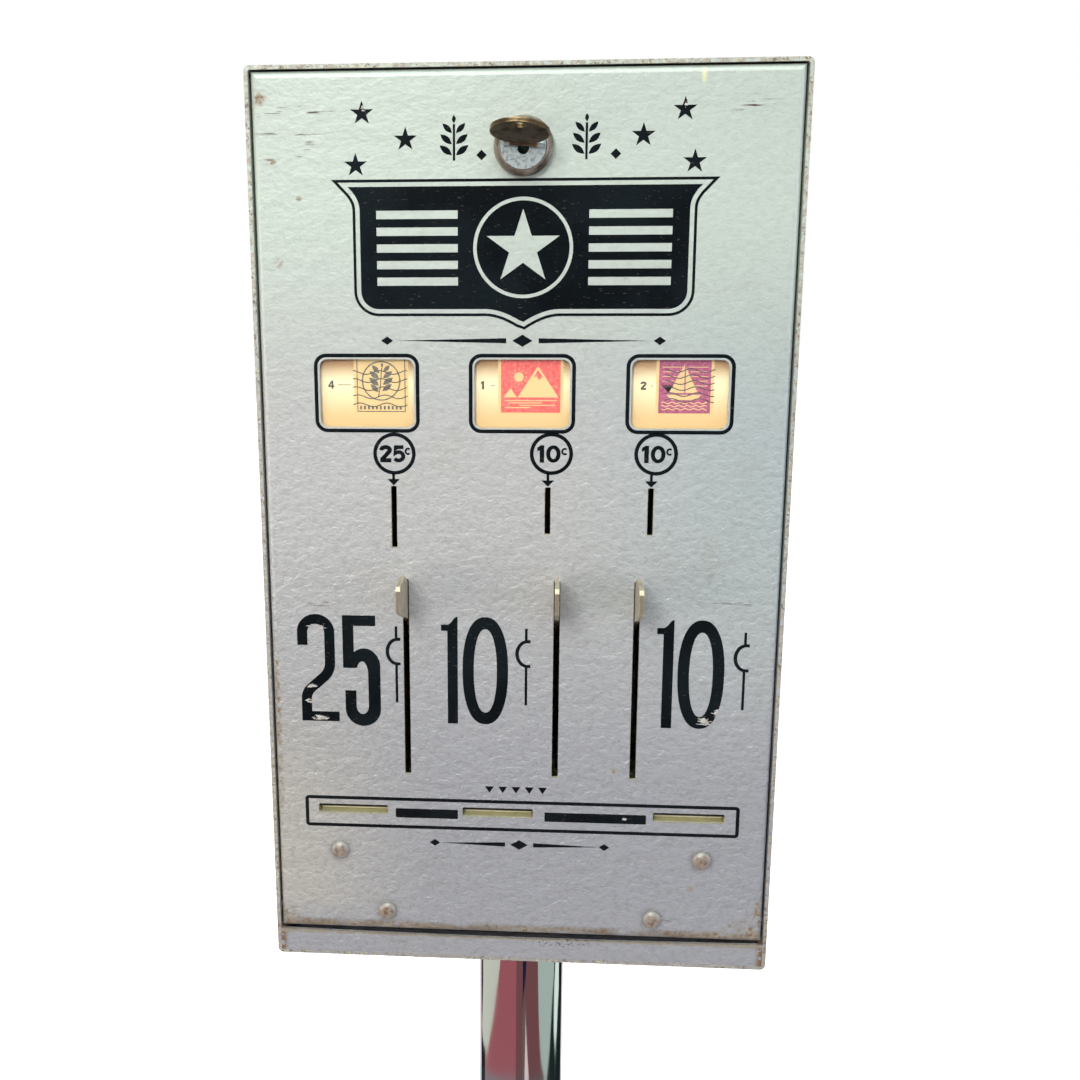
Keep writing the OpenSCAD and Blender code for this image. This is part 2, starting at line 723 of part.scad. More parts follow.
module ejector(i) {
    side = mag_side[i];
    x = arm_x(i);
    head = mag_x(i);
    y = [pin_y - 5, pin_y + 15];
    tip = mag_y + mag_t + 0.4 + folder_l + 0.3;
    low = deck_z + 0.1;
    color("#b0b3b5") in_box() difference() {
        union() {
            // upright arm with its drive pin
            along_x(x - arm_t / 2, arm_t) polygon([[y[0], rod_z], [y[1], rod_z], [y[1], rod_z + 12],
                [pin_y + 5, pivot_z + 2], [pin_y + 2, pivot_z + 6], [pin_y - 4, pivot_z + 6],
                [pin_y - 6, pivot_z + 2], [y[0], rod_z + 16]]);
            rod_x(side > 0 ? [x, lever_x[i] + lever_t / 2 + 0.4] : [lever_x[i] - lever_t / 2 - 0.4, x],
                  pin_y, pivot_z, drive_d);
            // guide block, link under the lever, and blade
            span([x - block_w / 2, x + block_w / 2], y, [low, rod_z + 5]);
            span([min(x, head), max(x, head)], y, [low, low + folder_t - 0.2]);
            span([head - 11, head + 11], [tip, y[1]], [low, low + folder_t - 0.2]);
        }
        rod_y(x, [y[0] - 1, y[1] + 1], rod_z, rod_d + run_fit);
    }
}

// ---------- lock ----------
module lock_body() {
    r = bezel_d / 2;
    lip = (bezel_d - plug_d) / 2 - 0.6;
    color("#8b8078") in_box() translate([0, 0, lock_z]) difference() {
        union() {
            rotate([90, 0, 0]) rotate_extrude($fn = 2 * fine) difference() {
                union() {
                    square([r, 2.4]);
                    square([r - lip, plug_out - 0.6]);
                    intersection() {
                        translate([r - 5, 2.2]) circle(r = 5, $fn = 2 * fine);
                        square([r, plug_out - 0.6]);
                    }
                }
                translate([-1, -1]) square([1, 1]);
            }
            rod_y(0, [-eps, 19], 0, 20);
        }
        rod_y(0, [-plug_out - 1, 20], 0, plug_d + run_fit);
    }
}

module lock_nut() {
    color(steel) in_box() translate([0, sheet, lock_z]) rotate([-90, 0, 0]) difference() {
        cylinder(d = 30, h = 4, $fn = 6);
        translate([0, 0, -1]) cylinder(d = 20, h = 6, $fn = fine);
    }
}

module lock_plug() {
    color("#b4b8bb") in_box() translate([0, 0, lock_z]) difference() {
        union() {
            rod_y(0, [-plug_out, 22], 0, plug_d);
            rod_y(0, [22 - eps, 26.6], 0, 7);
            // ears for the disc's pin
            rotate([0, disc_roll, 0]) for (s = [-1, 1]) {
                span([s * 6.5 - 1, s * 6.5 + 1], [disc_y, -plug_out + eps], [disc_up - 1.4, disc_up + 1.4]);
                rod_x([s * 6.5 - 1, s * 6.5 + 1], disc_y, disc_up, 2.8);
            }
        }
        rotate([0, disc_roll, 0]) rod_x([-8, 8], disc_y, disc_up, 1.2);
        rod_y(0, [-plug_out - 1, 10], -1, 4.4);
    }
}

module lock_cam() {
    color(steel) in_box() translate([0, 22, lock_z]) difference() {
        union() {
            span([-22, 0], [0, 2.4], [-6, 6]);
            rod_y(-20, [0, 2.4], 0, 9.6);
            rod_y(0, [0, 2.4], 0, 15);
            // nut that holds the cam on the plug
            translate([0, 2.4 - eps, 0]) rotate([-90, 0, 0]) cylinder(d = 13, h = 2.2, $fn = 6);
        }
        rod_y(0, [-1, 6], 0, 7);
    }
}

module at_pin() {
    in_box() translate([0, 0, lock_z]) rotate([0, disc_roll, 0]) translate([0, disc_y, disc_up]) children();
}

module lock_disc() {
    t = 1.6;
    color("#a08a55") at_pin() rotate([-disc_tilt, 0, 0]) difference() {
        union() {
            difference() {
                translate([-disc_shift, -disc_reach, -t / 2]) cylinder(d = disc_d, h = t, $fn = 2 * fine);
                // room for the plug's ears
                for (s = [-1, 1]) span([s * 12.6 - 7.4, s * 12.6 + 7.4], [-1.9, disc_d], [-t, t]);
            }
            span([-5.2, 5.2], [-6, 0], [-t / 2, t / 2]);
            rod_x([-5.2, 5.2], 0, 0, 2.6);
        }
        rod_x([-6, 6], 0, 0, 1.2 + run_fit);
        translate([-disc_shift, -disc_reach - 0.34 * disc_d, -2]) cylinder(d = 4.4, h = 4, $fn = fine);
    }
}

module disc_pin() {
    color(bright) at_pin() rod_x([-7.6, 7.6], 0, 0, 1.2);
}

housing_shell();
back_panel();
bottom_lip();
hinge_pins();
stay_studs();
lock_strike();
cash_box();
post_flange();
flange_bolts();
post();
stand_base();
base_screws();
base_feet();
door_panel();
hinge_plates();
door_brackets();
door_rivets();
window_panes();
card_frames();
sample_card(LEFT);  // sample_card_left
sample_card(MIDDLE);  // sample_card_middle
sample_card(RIGHT);  // sample_card_right
mechanism_deck();
guide_rods();
lever_shaft();
shaft_collars();
lever_springs();
magazine(LEFT);  // magazine_left
magazine(MIDDLE);  // magazine_middle
magazine(RIGHT);  // magazine_right
folder_stack(LEFT);  // folder_stack_left
folder_stack(MIDDLE);  // folder_stack_middle
folder_stack(RIGHT);  // folder_stack_right
coin_chute(LEFT);  // coin_chute_left
coin_chute(MIDDLE);  // coin_chute_middle
coin_chute(RIGHT);  // coin_chute_right
lever(LEFT);  // lever_left
lever(MIDDLE);  // lever_middle
lever(RIGHT);  // lever_right
ejector(LEFT);  // ejector_left
ejector(MIDDLE);  // ejector_middle
ejector(RIGHT);  // ejector_right
next_folder(LEFT);  // next_folder_left
next_folder(MIDDLE);  // next_folder_middle
next_folder(RIGHT);  // next_folder_right
follower(LEFT);  // follower_left
follower(MIDDLE);  // follower_middle
follower(RIGHT);  // follower_right
lock_body();
lock_nut();
lock_plug();
lock_cam();
lock_disc();
disc_pin();
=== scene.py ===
import math

import bmesh
import bpy
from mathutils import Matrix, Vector


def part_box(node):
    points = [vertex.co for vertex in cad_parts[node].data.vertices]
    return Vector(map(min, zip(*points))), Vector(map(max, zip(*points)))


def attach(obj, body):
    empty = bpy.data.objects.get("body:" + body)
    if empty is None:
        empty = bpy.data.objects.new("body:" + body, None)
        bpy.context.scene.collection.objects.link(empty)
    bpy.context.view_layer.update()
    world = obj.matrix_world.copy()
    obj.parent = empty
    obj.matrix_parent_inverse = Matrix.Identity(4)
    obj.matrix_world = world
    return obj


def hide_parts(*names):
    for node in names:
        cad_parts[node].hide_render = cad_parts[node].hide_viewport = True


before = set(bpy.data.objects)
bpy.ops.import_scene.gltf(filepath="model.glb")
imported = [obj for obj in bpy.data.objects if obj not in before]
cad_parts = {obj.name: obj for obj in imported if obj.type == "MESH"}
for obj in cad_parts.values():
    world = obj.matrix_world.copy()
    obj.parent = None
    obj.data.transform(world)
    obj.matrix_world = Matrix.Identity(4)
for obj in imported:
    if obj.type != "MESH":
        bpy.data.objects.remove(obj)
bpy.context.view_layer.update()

scene = bpy.context.scene
mm = 0.001
axisX, axisY, axisZ = 0, 1, 2    # across the face, back from it, and up
caseLow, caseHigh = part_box("housing_shell")
faceY, caseZ = caseLow[axisY], caseLow[axisZ]    # the door's face and the case's underside
sides = ("left", "middle", "right")
print("frame loaded, case", [round((b - a) / mm, 1) for a, b in zip(caseLow, caseHigh)])


# Millimetres across the face from its middle, back from the face and up from the case's underside.
def place(x, y, z):
    return Vector((x * mm, faceY + y * mm, caseZ + z * mm))


def hexColour(code):
    parts = [int(code[k:k + 2], 16) / 255 for k in (1, 3, 5)]
    return tuple(c / 12.92 if c <= 0.04045 else ((c + 0.055) / 1.055) ** 2.4 for c in parts) + (1.0,)


def addNode(tree, kind, inputs=None, **settings):
    node = tree.nodes.new(kind)
    for name, value in settings.items():
        setattr(node, name, value)
    for key, value in (inputs or {}).items():
        if isinstance(value, bpy.types.NodeSocket):
            tree.links.new(value, node.inputs[key])
        else:
            node.inputs[key].default_value = value
    return node


def shown(name, data):
    made = bpy.data.objects.new(name, data)
    scene.collection.objects.link(made)
    return made


cameraSettings = {
    "x": 13.7, "y": -578.6, "z": 345.8,             # mm in the case's own frame
    "down": 14.73, "left": 5.19, "roll": -0.596,    # degrees
    "focal": 48.43, "sensor": 36.0, "shift": 0.1047,
}


def makeCamera(s):
    down, left, roll = (math.radians(s[k]) for k in ("down", "left", "roll"))
    ahead = Vector((-math.sin(left) * math.cos(down), math.cos(left) * math.cos(down), -math.sin(down)))
    level = Vector((math.cos(left), math.sin(left), 0))
    upright = level.cross(ahead)
    right = math.cos(roll) * level + math.sin(roll) * upright
    above = -math.sin(roll) * level + math.cos(roll) * upright
    data = bpy.data.cameras.new("camera")
    data.lens, data.sensor_width, data.shift_x = s["focal"], s["sensor"], s["shift"]
    camera = shown("camera", data)
    turn = camera.matrix_world.to_3x3()
    for k in range(3):
        turn[k] = (right[k], above[k], -ahead[k])
    camera.matrix_world = turn.to_4x4()
    camera.location = place(s["x"], s["y"], s["z"])
    scene.camera = camera


makeCamera(cameraSettings)

lampSettings = {
    # name: place, aim, size in m, watts, colour; mm in the case's own frame
    "overheadSoftbox": ((-110, -800, 1350), (0, 60, 200), 1.2, 12.7, "#f6fff6"),
    "frontKey": ((-380, -1350, 900), (0, 0, 180), 0.34, 7.5, "#fffdf8"),
    "leftWindow": ((-1500, -1000, 130), (0, 60, 80), 0.8, 7.2, "#fff1e2"),
    "rightFill": ((1500, -900, 400), (0, 60, 100), 1.2, 7, "#e9ecff"),
    "rearFill": ((300, 1700, 700), (0, 60, 0), 1.6, 14, "#ffffff"),
}
for lampName, (spot, target, size, power, colour) in lampSettings.items():
    data = bpy.data.lights.new(lampName, "AREA")
    data.shape, data.size, data.energy, data.color = "SQUARE", size, power, hexColour(colour)[:3]
    lamp = shown(lampName, data)
    lamp.location = place(*spot)
    lamp.rotation_euler = (place(*target) - place(*spot)).to_track_quat("-Z", "Y").to_euler()


# White to the eye and through the panes; a softer, slightly cool light on everything else.
def lightWorld(soft="#e9eef2", softStrength=0.42):
    world = bpy.data.worlds.new("studio")
    world.use_nodes = True
    scene.world = world
    tree = world.node_tree
    tree.nodes.clear()
    seen = addNode(tree, "ShaderNodeLightPath")
    white = addNode(tree, "ShaderNodeMath", {0: seen.outputs["Is Camera Ray"],
                    1: seen.outputs["Is Transmission Ray"]}, operation="MAXIMUM")
    gentle = addNode(tree, "ShaderNodeBackground", {"Color": hexColour(soft), "Strength": softStrength})
    bare = addNode(tree, "ShaderNodeBackground", {"Color": (1, 1, 1, 1), "Strength": 1.0})
    both = addNode(tree, "ShaderNodeMixShader", {0: white.outputs[0], 1: gentle.outputs[0],
                   2: bare.outputs[0]})
    addNode(tree, "ShaderNodeOutputWorld", {"Surface": both.outputs[0]})


lightWorld()
scene.view_settings.view_transform = "Standard"


# A material with one shader, ready for its patterns.
def newFinish(name, colour, roughness, metallic=0.0, **sockets):
    material = bpy.data.materials.new(name)
    material.use_nodes = True
    tree = material.node_tree
    tree.nodes.clear()
    shader = addNode(tree, "ShaderNodeBsdfPrincipled", {"Base Color": hexColour(colour),
                     "Roughness": roughness, "Metallic": metallic})
    for key, value in sockets.items():
        shader.inputs[key.replace("_", " ")].default_value = value
    addNode(tree, "ShaderNodeOutputMaterial", {"Surface": shader.outputs[0]})
    return material, tree, shader


# Links finished patterns to the shader: its colour, how rough it is and how its surface lies.
def feed(tree, shader, colour=None, rough=None, normal=None):
    for socket, pattern in (("Base Color", colour), ("Roughness", rough), ("Normal", normal)):
        if pattern:
            tree.links.new(pattern, shader.inputs[socket])


# Object coordinates, stretched; a size of 2 mm in any pattern is a scale of 1 / 0.002.
def ownPlace(tree, stretch=(1, 1, 1)):
    coords = addNode(tree, "ShaderNodeTexCoord")
    return addNode(tree, "ShaderNodeMapping", {"Vector": coords.outputs["Object"],
                   "Scale": stretch}).outputs[0]


# Irregular patches from 0 to 1 of about the given size in mm.
def blotches(tree, size, low, high, stretch=(1, 1, 1), shift=0.0, detail=4.0):
    coords = addNode(tree, "ShaderNodeMapping", {"Vector": ownPlace(tree, stretch),
                     "Location": (shift, shift * 0.7, -shift)}).outputs[0]
    noise = addNode(tree, "ShaderNodeTexNoise", {"Vector": coords, "Scale": 1 / (size * mm),
                    "Detail": detail, "Roughness": 0.6})
    return addNode(tree, "ShaderNodeMapRange", {"Value": noise.outputs[0], "From Min": low,
                   "From Max": high}, interpolation_type="SMOOTHSTEP").outputs[0]


def times(tree, *masks):
    total = masks[0]
    for mask in masks[1:]:
        total = addNode(tree, "ShaderNodeMath", {0: total, 1: mask}, operation="MULTIPLY").outputs[0]
    return total


def most(tree, *masks):
    total = masks[0]
    for mask in masks[1:]:
        total = addNode(tree, "ShaderNodeMath", {0: total, 1: mask}, operation="MAXIMUM").outputs[0]
    return total


# 1 along the outer edges of the mesh, broken up as rubbed edges are.
def rubbedEdges(tree, radius, low=0.02, high=0.2, size=3.0, shift=0.0):
    rounded = addNode(tree, "ShaderNodeBevel", {"Radius": radius * mm}, samples=6)
    flat = addNode(tree, "ShaderNodeNewGeometry")
    along = addNode(tree, "ShaderNodeVectorMath", {0: rounded.outputs[0], 1: flat.outputs["Normal"]},
                    operation="DOT_PRODUCT")
    turned = addNode(tree, "ShaderNodeMath", {0: 1.0, 1: along.outputs["Value"]}, operation="SUBTRACT")
    edge = addNode(tree, "ShaderNodeMapRange", {"Value": turned.outputs[0], "From Min": low,
                   "From Max": high}, interpolation_type="SMOOTHSTEP").outputs[0]
    return times(tree, edge, blotches(tree, size, 0.36, 0.6, shift=shift))


# 1 at each of a few places on the face, fading out: (x, z, half width, half height) in mm.
def facePatches(tree, spots):
    coords = ownPlace(tree)
    patches = []
    for x, z, halfWide, halfHigh in spots:
        local = addNode(tree, "ShaderNodeMapping", {"Vector": coords, "Location": place(x, 0, z),
                        "Scale": (halfWide * mm, 1, halfHigh * mm)}, vector_type="TEXTURE")
        away = addNode(tree, "ShaderNodeVectorMath", {0: local.outputs[0]}, operation="LENGTH")
        patches.append(addNode(tree, "ShaderNodeMapRange", {"Value": away.outputs["Value"], "From Min": 1.0,
                               "From Max": 0.2}, interpolation_type="SMOOTHSTEP").outputs[0])
    return most(tree, *patches)


# Where a coordinate passes from one place to another, in mm in the case's frame: 0 to 1.
def passing(tree, axis, start, end):
    parts = addNode(tree, "ShaderNodeSeparateXYZ", {0: ownPlace(tree)})
    base = place(0, 0, 0)[axis]
    return addNode(tree, "ShaderNodeMapRange", {"Value": parts.outputs[axis], "From Min": base + start * mm,
                   "From Max": base + end * mm}, interpolation_type="SMOOTHSTEP").outputs[0]


# Lays colours over each other, each through its mask.
def laidOver(tree, under, layers):
    below = hexColour(under) if isinstance(under, str) else under
    for mask, colour in layers:
        below = addNode(tree, "ShaderNodeMix", {0: mask, 6: below, 7: hexColour(colour)},
                        data_type="RGBA").outputs[2]
    return below


# Hammered enamel: a leathery ripple 1 to 3 mm across, a little wider than it is high, over broader swells.
hammer = {
    # layer: its size in mm, its detail and how far it is bent
    "peel": (1.1, 1.0, 0.0), "ripple": (2.9, 1.2, 0.15), "swell": (8.0, 1.0, 0.0),
    "squash": 1.3, "peelShare": 0.5, "swellShare": 1.4,
    # the coat ran thicker and rippled more towards the bottom of each sheet
    "heights": (340, 40), "depth": (0.13, 0.66), "dustAndShadeShare": (0.1, 0.3),
    "hollow": (0.74, 0.57),    # where the dust and painted shade in the fine ripple's hollows start and where they are darkest
}


# Sets the shader's normal from the ripple; gives back its hollows, darkened with dust and painted shade.
def hammeredHeight(tree, shader, strength=1.0):
    flat = ownPlace(tree, (1, 1, hammer["squash"]))
    peel, ripple, swell = (
        addNode(tree, "ShaderNodeTexNoise", {"Vector": flat, "Scale": 1 / (size * mm), "Detail": detail,
                "Roughness": 0.5, "Distortion": bend}).outputs[0]
        for size, detail, bend in (hammer["peel"], hammer["ripple"], hammer["swell"]))
    fine = addNode(tree, "ShaderNodeMath", {0: peel, 1: hammer["peelShare"], 2: ripple},
                   operation="MULTIPLY_ADD").outputs[0]
    height = addNode(tree, "ShaderNodeMath", {0: swell, 1: hammer["swellShare"], 2: fine},
                     operation="MULTIPLY_ADD").outputs[0]
    thick = passing(tree, axisZ, *hammer["heights"])
    thin, full = (d * strength * mm for d in hammer["depth"])
    depth = addNode(tree, "ShaderNodeMath", {0: thick, 1: full - thin, 2: thin},
                    operation="MULTIPLY_ADD").outputs[0]
    feed(tree, shader, normal=addNode(tree, "ShaderNodeBump", {"Strength": 1.0, "Distance": depth,
                                      "Height": height}).outputs[0])
    rimmed, sunk = hammer["hollow"]
    hollows = addNode(tree, "ShaderNodeMapRange", {"Value": fine, "From Min": rimmed,
                      "From Max": sunk}).outputs[0]
    least, greatest = hammer["dustAndShadeShare"]
    share = addNode(tree, "ShaderNodeMath", {0: thick, 1: greatest - least, 2: least},
                    operation="MULTIPLY_ADD").outputs[0]
    return times(tree, hollows, share)


enamel = {
    # crown, upper, middle and lower are painted light: paler and greener towards the top, darker and lavender
    # towards the bottom; cool is a painted reflection on the right, and warm sits at the lower left
    "crown": "#c6cfc7", "upper": "#ced8cf", "middle": "#cccbcb", "lower": "#b1b1b8", "cool": "#c0c9ca",
    "warm": "#c7c3bd", "hollowDustAndShade": "#8f9194", "grime": "#a79e8e", "rust": "#8a6a50", "foot": "#8d8173",
    "collar": "#8e8a85", "streak": "#ecebc0", "primer": "#5d4a3e", "bare": "#d9d4b4", "edge": "#dfe2da",
    "speck": "#4a433d", "rim": "#b3aa9c", "rimRust": "#84766a", "lipTop": "#a3988a",
    "roughness": 0.46, "wornRoughness": 0.66, "coat": 0.25, "coatRoughness": 0.36, "metallic": 0.28,
    "rivets": [(-78.6, 51.6), (78.6, 51.6), (-58.2, 22.6), (58.2, 22.6)],
    # centre, half width and half height of each place, mm
    "worn": [(-103, 369, 6, 4), (-99, 345, 4, 1.8), (-103, 18, 8, 8), (101, 19, 15, 8), (-97, 306, 3, 2.5),
             (104, 26, 3.5, 12), (92, 15.5, 30, 3.5), (-60, 15, 44, 2.4), (10, 15, 30, 2.6), (74, 38, 2.4, 2),
             (40, 92, 2, 2), (-88, 331, 2, 1.5), (-104, 110, 2, 60)],
    "scuffs": [(-90, 363, 26, 4), (-90, 356, 20, 2), (-92, 346, 14, 2.5), (-84, 165.5, 9, 3),
               (90, 168, 26, 3), (88, 364, 12, 5), (-20, 150, 6, 3), (-83, 350, 3, 4), (83, 214, 6, 3),
               (68, 22, 8, 3)],
    "streaks": [(67.6, 375.4, 1.3, 5)], "lipChips": [(18, 10, 30, 3.5)],
}


# Aluminium-flaked hammer enamel, stoved on: dimpled, half metallic under a clear gloss.
def hammeredEnamel(name, rim=False, cutEdges=False, ends=False):
    e = enamel
    material, tree, shader = newFinish(name, e["upper"], e["roughness"], e["metallic"],
                                       Coat_Weight=e["coat"], Coat_Roughness=e["coatRoughness"])
    dimples = hammeredHeight(tree, shader)
    right = times(tree, passing(tree, axisX, 0, 100), passing(tree, axisZ, 80, 220))
    left = times(tree, passing(tree, axisX, -30, -105), passing(tree, axisZ, 160, 60),
                 passing(tree, axisZ, 12, 30))
    # Painted light: the enamel's tone is paler and greener towards the top and darker towards the bottom,
    # with a cooler painted reflection on the right and a warmer patch at the lower left.
    agedAndLitTone = laidOver(tree, e["lower"], [
        (passing(tree, axisZ, 60, 220), e["middle"]), (right, e["cool"]), (left, e["warm"]),
        (passing(tree, axisZ, 230, 330), e["upper"]), (passing(tree, axisZ, 320, 380), e["crown"])])
    cloudy = times(tree, blotches(tree, 60, 0.5, 0.8, shift=3.0), blotches(tree, 2.5, 0.3, 0.8))
    specks = addNode(tree, "ShaderNodeTexVoronoi", {"Vector": ownPlace(tree), "Scale": 1 / (11 * mm)})
    near = addNode(tree, "ShaderNodeMapRange", {"Value": specks.outputs["Distance"], "From Min": 0.05,
                   "From Max": 0.02}).outputs[0]
    few = addNode(tree, "ShaderNodeMath", {0: specks.outputs["Color"], 1: 0.82},
                  operation="GREATER_THAN").outputs[0]
    faceOnly = passing(tree, axisY, 1.0, 0.2)
    worn = times(tree, facePatches(tree, e["worn"]), blotches(tree, 4, 0.36, 0.6, shift=5.0), faceOnly)
    scuffed = times(tree, facePatches(tree, e["scuffs"]),
                    blotches(tree, 5, 0.585, 0.62, (0.3, 1, 4.5), shift=9.0), faceOnly)
    edges = rubbedEdges(tree, 0.7, 0.12 if ends else 0.05, 0.4 if ends else 0.3, shift=1.0)
    foot = times(tree, passing(tree, axisZ, 19, 15.2), passing(tree, axisZ, 12.4, 13),
                 blotches(tree, 8, 0.3, 0.55, (0.4, 1, 1), shift=12.0), faceOnly)
    # a darker ring round each rivet: dirt, and painted shade round the head
    collars = times(tree, facePatches(tree, [(x, z, 7, 7) for x, z in e["rivets"]]), faceOnly,
                    blotches(tree, 3, 0.2, 0.6))
    # the ripple's hollows are darkened with dust and with painted shade
    layers = [(dimples, e["hollowDustAndShade"]), (times(tree, facePatches(tree, e["streaks"]), faceOnly), e["streak"]),
              (foot, e["foot"]), (times(tree, foot, blotches(tree, 2, 0.5, 0.62)), e["rust"]),
              (collars, e["collar"]), (times(tree, cloudy, blotches(tree, 30, 0.4, 0.7)), e["grime"]),
              (times(tree, near, few), e["speck"]), (worn, e["grime"]),
              (times(tree, worn, blotches(tree, 1.6, 0.48, 0.6)), e["rust"]),
              (scuffed, e["primer"]), (edges, e["grime"]),
              (times(tree, edges, blotches(tree, 1.2, 0.5, 0.58)), e["rust"])]
    bareness = [worn, scuffed, edges]
    if rim:    # the sheet's raw edge round the door, rubbed through to primer and steel
        rimFace = passing(tree, axisY, 0.9, 0.5)
        mottled = times(tree, rimFace, blotches(tree, 2.6, 0.4, 0.6, shift=2.0))
        layers += [(mottled, e["rim"]),
                   (times(tree, rimFace, blotches(tree, 1.4, 0.56, 0.64, shift=4.0)), e["rimRust"]),
                   (times(tree, rimFace, blotches(tree, 1.1, 0.6, 0.66, shift=6.0)), e["bare"])]
        bareness.append(mottled)
    if cutEdges:    # the punched openings show bright plate where the enamel never took
        inside = times(tree, passing(tree, axisY, 0.1, 0.2), passing(tree, axisY, 1.5, 1.4),
                       passing(tree, axisZ, 24, 28), passing(tree, axisZ, 366, 362),
                       passing(tree, axisX, -100, -98), passing(tree, axisX, 100, 98))
        layers += [(inside, e["bare"]), (times(tree, inside, passing(tree, axisZ, 200, 210)), e["edge"]),
                   (times(tree, inside, blotches(tree, 1.5, 0.55, 0.7)), e["grime"])]
        bareness.append(inside)
    if ends:    # rust creeps out of the weld at each end of the lip, and its top edge is rubbed
        atEnds = most(tree, passing(tree, axisX, -102.5, -105.5), passing(tree, axisX, 102.5, 105.5))
        rusty = times(tree, atEnds, blotches(tree, 2.5, 0.35, 0.5, shift=8.0))
        top = times(tree, passing(tree, axisZ, 9.9, 10.9), blotches(tree, 9, 0.2, 0.5, shift=3.0))
        chips = times(tree, facePatches(tree, e["lipChips"]), blotches(tree, 1.3, 0.55, 0.62, shift=6.0))
        layers += [(rusty, e["rust"]), (times(tree, top, passing(tree, axisY, 1.4, 0.8)), e["lipTop"]),
                   (chips, e["primer"])]
        bareness += [rusty, top]
    bared = most(tree, *bareness)
    rough = addNode(tree, "ShaderNodeMapRange", {"Value": bared, "To Min": e["roughness"],
                    "To Max": e["wornRoughness"]}).outputs[0]
    feed(tree, shader, laidOver(tree, agedAndLitTone, layers), rough)
    covered = addNode(tree, "ShaderNodeMapRange", {"Value": bared, "To Min": e["coat"], "To Max": 0.0})
    tree.links.new(covered.outputs[0], shader.inputs["Coat Weight"])
    return material


screenInk = {
    "black": "#0d1216", "worn": "#161d21", "torn": "#4a403b", "gone": "#c9c6c2", "fleck": "#9c8f86",
    "roughness": 0.2, "chippedRoughness": 0.5, "relief": 0.25,
    # centre, half width and half height of each place where it has chipped, mm
    "chips": [(-86, 154.5, 7, 1.6), (-89, 128, 4, 1.4), (-90, 121, 3, 1.6), (-85.5, 113.6, 6, 2),
              (77.5, 115.5, 5, 2.6), (83, 119.5, 3.5, 3), (-61.8, 364.5, 1.2, 1.6), (61.2, 364.4, 1.2, 2),
              (45, 70, 1.6, 1)],
}


# Black stoving enamel put on through a silk screen: glossy, thin enough to follow the dimples.
def screenedEnamel(name, i):
    material, tree, shader = newFinish(name, i["black"], i["roughness"], Coat_Weight=0.6, Coat_Roughness=0.06)
    hammeredHeight(tree, shader, i["relief"])
    torn = addNode(tree, "ShaderNodeMath", {0: blotches(tree, 1.3, 0.3, 0.7, (0.45, 1, 1.5), shift=4.0),
                   1: 1.3, 2: facePatches(tree, i["chips"])}, operation="MULTIPLY_ADD").outputs[0]
    chipped, around = (addNode(tree, "ShaderNodeMapRange", {"Value": torn, "From Min": low,
                               "From Max": high}).outputs[0] for low, high in ((1.32, 1.38), (1.2, 1.3)))
    flecked = times(tree, chipped, blotches(tree, 1.0, 0.5, 0.6, (0.6, 1, 1.5), shift=8.0))
    rough = addNode(tree, "ShaderNodeMapRange", {"Value": chipped, "To Min": i["roughness"],
                    "To Max": i["chippedRoughness"]}).outputs[0]
    feed(tree, shader, laidOver(tree, i["black"], [
        (blotches(tree, 35, 0.35, 0.65, shift=2.0), i["worn"]), (around, i["torn"]), (chipped, i["gone"]),
        (flecked, i["fleck"])]), rough)
    return material


# Bare and plated metals, each with its own tarnish, rubbed edges and fine marks.
def metalFinish(name, colour, tarnish, rubbed, roughness, size=6.0, marks=0.4, depth=0.02, shift=0.0,
                edge=0.6, tarnishAmount=1.0, metallic=1.0, slotShadowBand=None):
    material, tree, shader = newFinish(name, colour, roughness, metallic)
    dirty = blotches(tree, size, 0.42, 0.68, shift=shift)
    share = addNode(tree, "ShaderNodeMath", {0: dirty, 1: tarnishAmount}, operation="MULTIPLY").outputs[0]
    fine = blotches(tree, marks, 0.3, 0.7, shift=shift + 1)
    layers = [(share, tarnish), (rubbedEdges(tree, edge, shift=shift), rubbed)]
    if slotShadowBand:    # painted shadow: a dark band between two heights near the front, where the door over the slot shades the plate
        start, end = slotShadowBand
        layers.append((times(tree, passing(tree, axisZ, *start), passing(tree, axisZ, *end),
                             passing(tree, axisY, 9, 5)), "#2b2722"))
    brushed = addNode(tree, "ShaderNodeMath", {0: fine, 1: 0.12, 2: roughness - 0.06},
                      operation="MULTIPLY_ADD").outputs[0]
    rough = addNode(tree, "ShaderNodeMath", {0: share, 1: 0.22, 2: brushed},
                    operation="MULTIPLY_ADD").outputs[0]
    bump = addNode(tree, "ShaderNodeBump", {"Strength": 0.6, "Distance": depth * mm, "Height": fine})
    feed(tree, shader, laidOver(tree, colour, layers), rough, bump.outputs[0])
    return material


# Bright chromium over nickel, with faint wiping marks and a few pits.
def polishedChrome(name, colour="#d9dcdf", pitted="#6d5b4c"):
    material, tree, shader = newFinish(name, colour, 0.04, 1.0)
    wiped = blotches(tree, 30, 0.4, 0.75, (1, 1, 0.2))
    rough = addNode(tree, "ShaderNodeMapRange", {"Value": wiped, "To Min": 0.03, "To Max": 0.1})
    pits = times(tree, blotches(tree, 1.6, 0.7, 0.74), blotches(tree, 120, 0.5, 0.7, shift=4.0))
    feed(tree, shader, laidOver(tree, colour, [(pits, pitted)]), rough.outputs[0])
    return material


# Galvanised plate: a faint spangle of crystals a few millimetres across.
def galvanisedPlate(name, colour="#a9adb0"):
    material, tree, shader = newFinish(name, colour, 0.42, 0.85)
    crystals = addNode(tree, "ShaderNodeTexVoronoi", {"Vector": ownPlace(tree),
                       "Scale": 1 / (5 * mm)}).outputs["Color"]
    tint, rough = (addNode(tree, "ShaderNodeMapRange", {"Value": crystals, "To Min": low,
                           "To Max": high}).outputs[0] for low, high in ((0.0, 0.5), (0.34, 0.5)))
    feed(tree, shader, laidOver(tree, colour, [
        (tint, "#80858a"), (blotches(tree, 25, 0.5, 0.75), "#8a7f70"), (rubbedEdges(tree, 0.5), "#d4d2c8")]),
        rough)
    return material


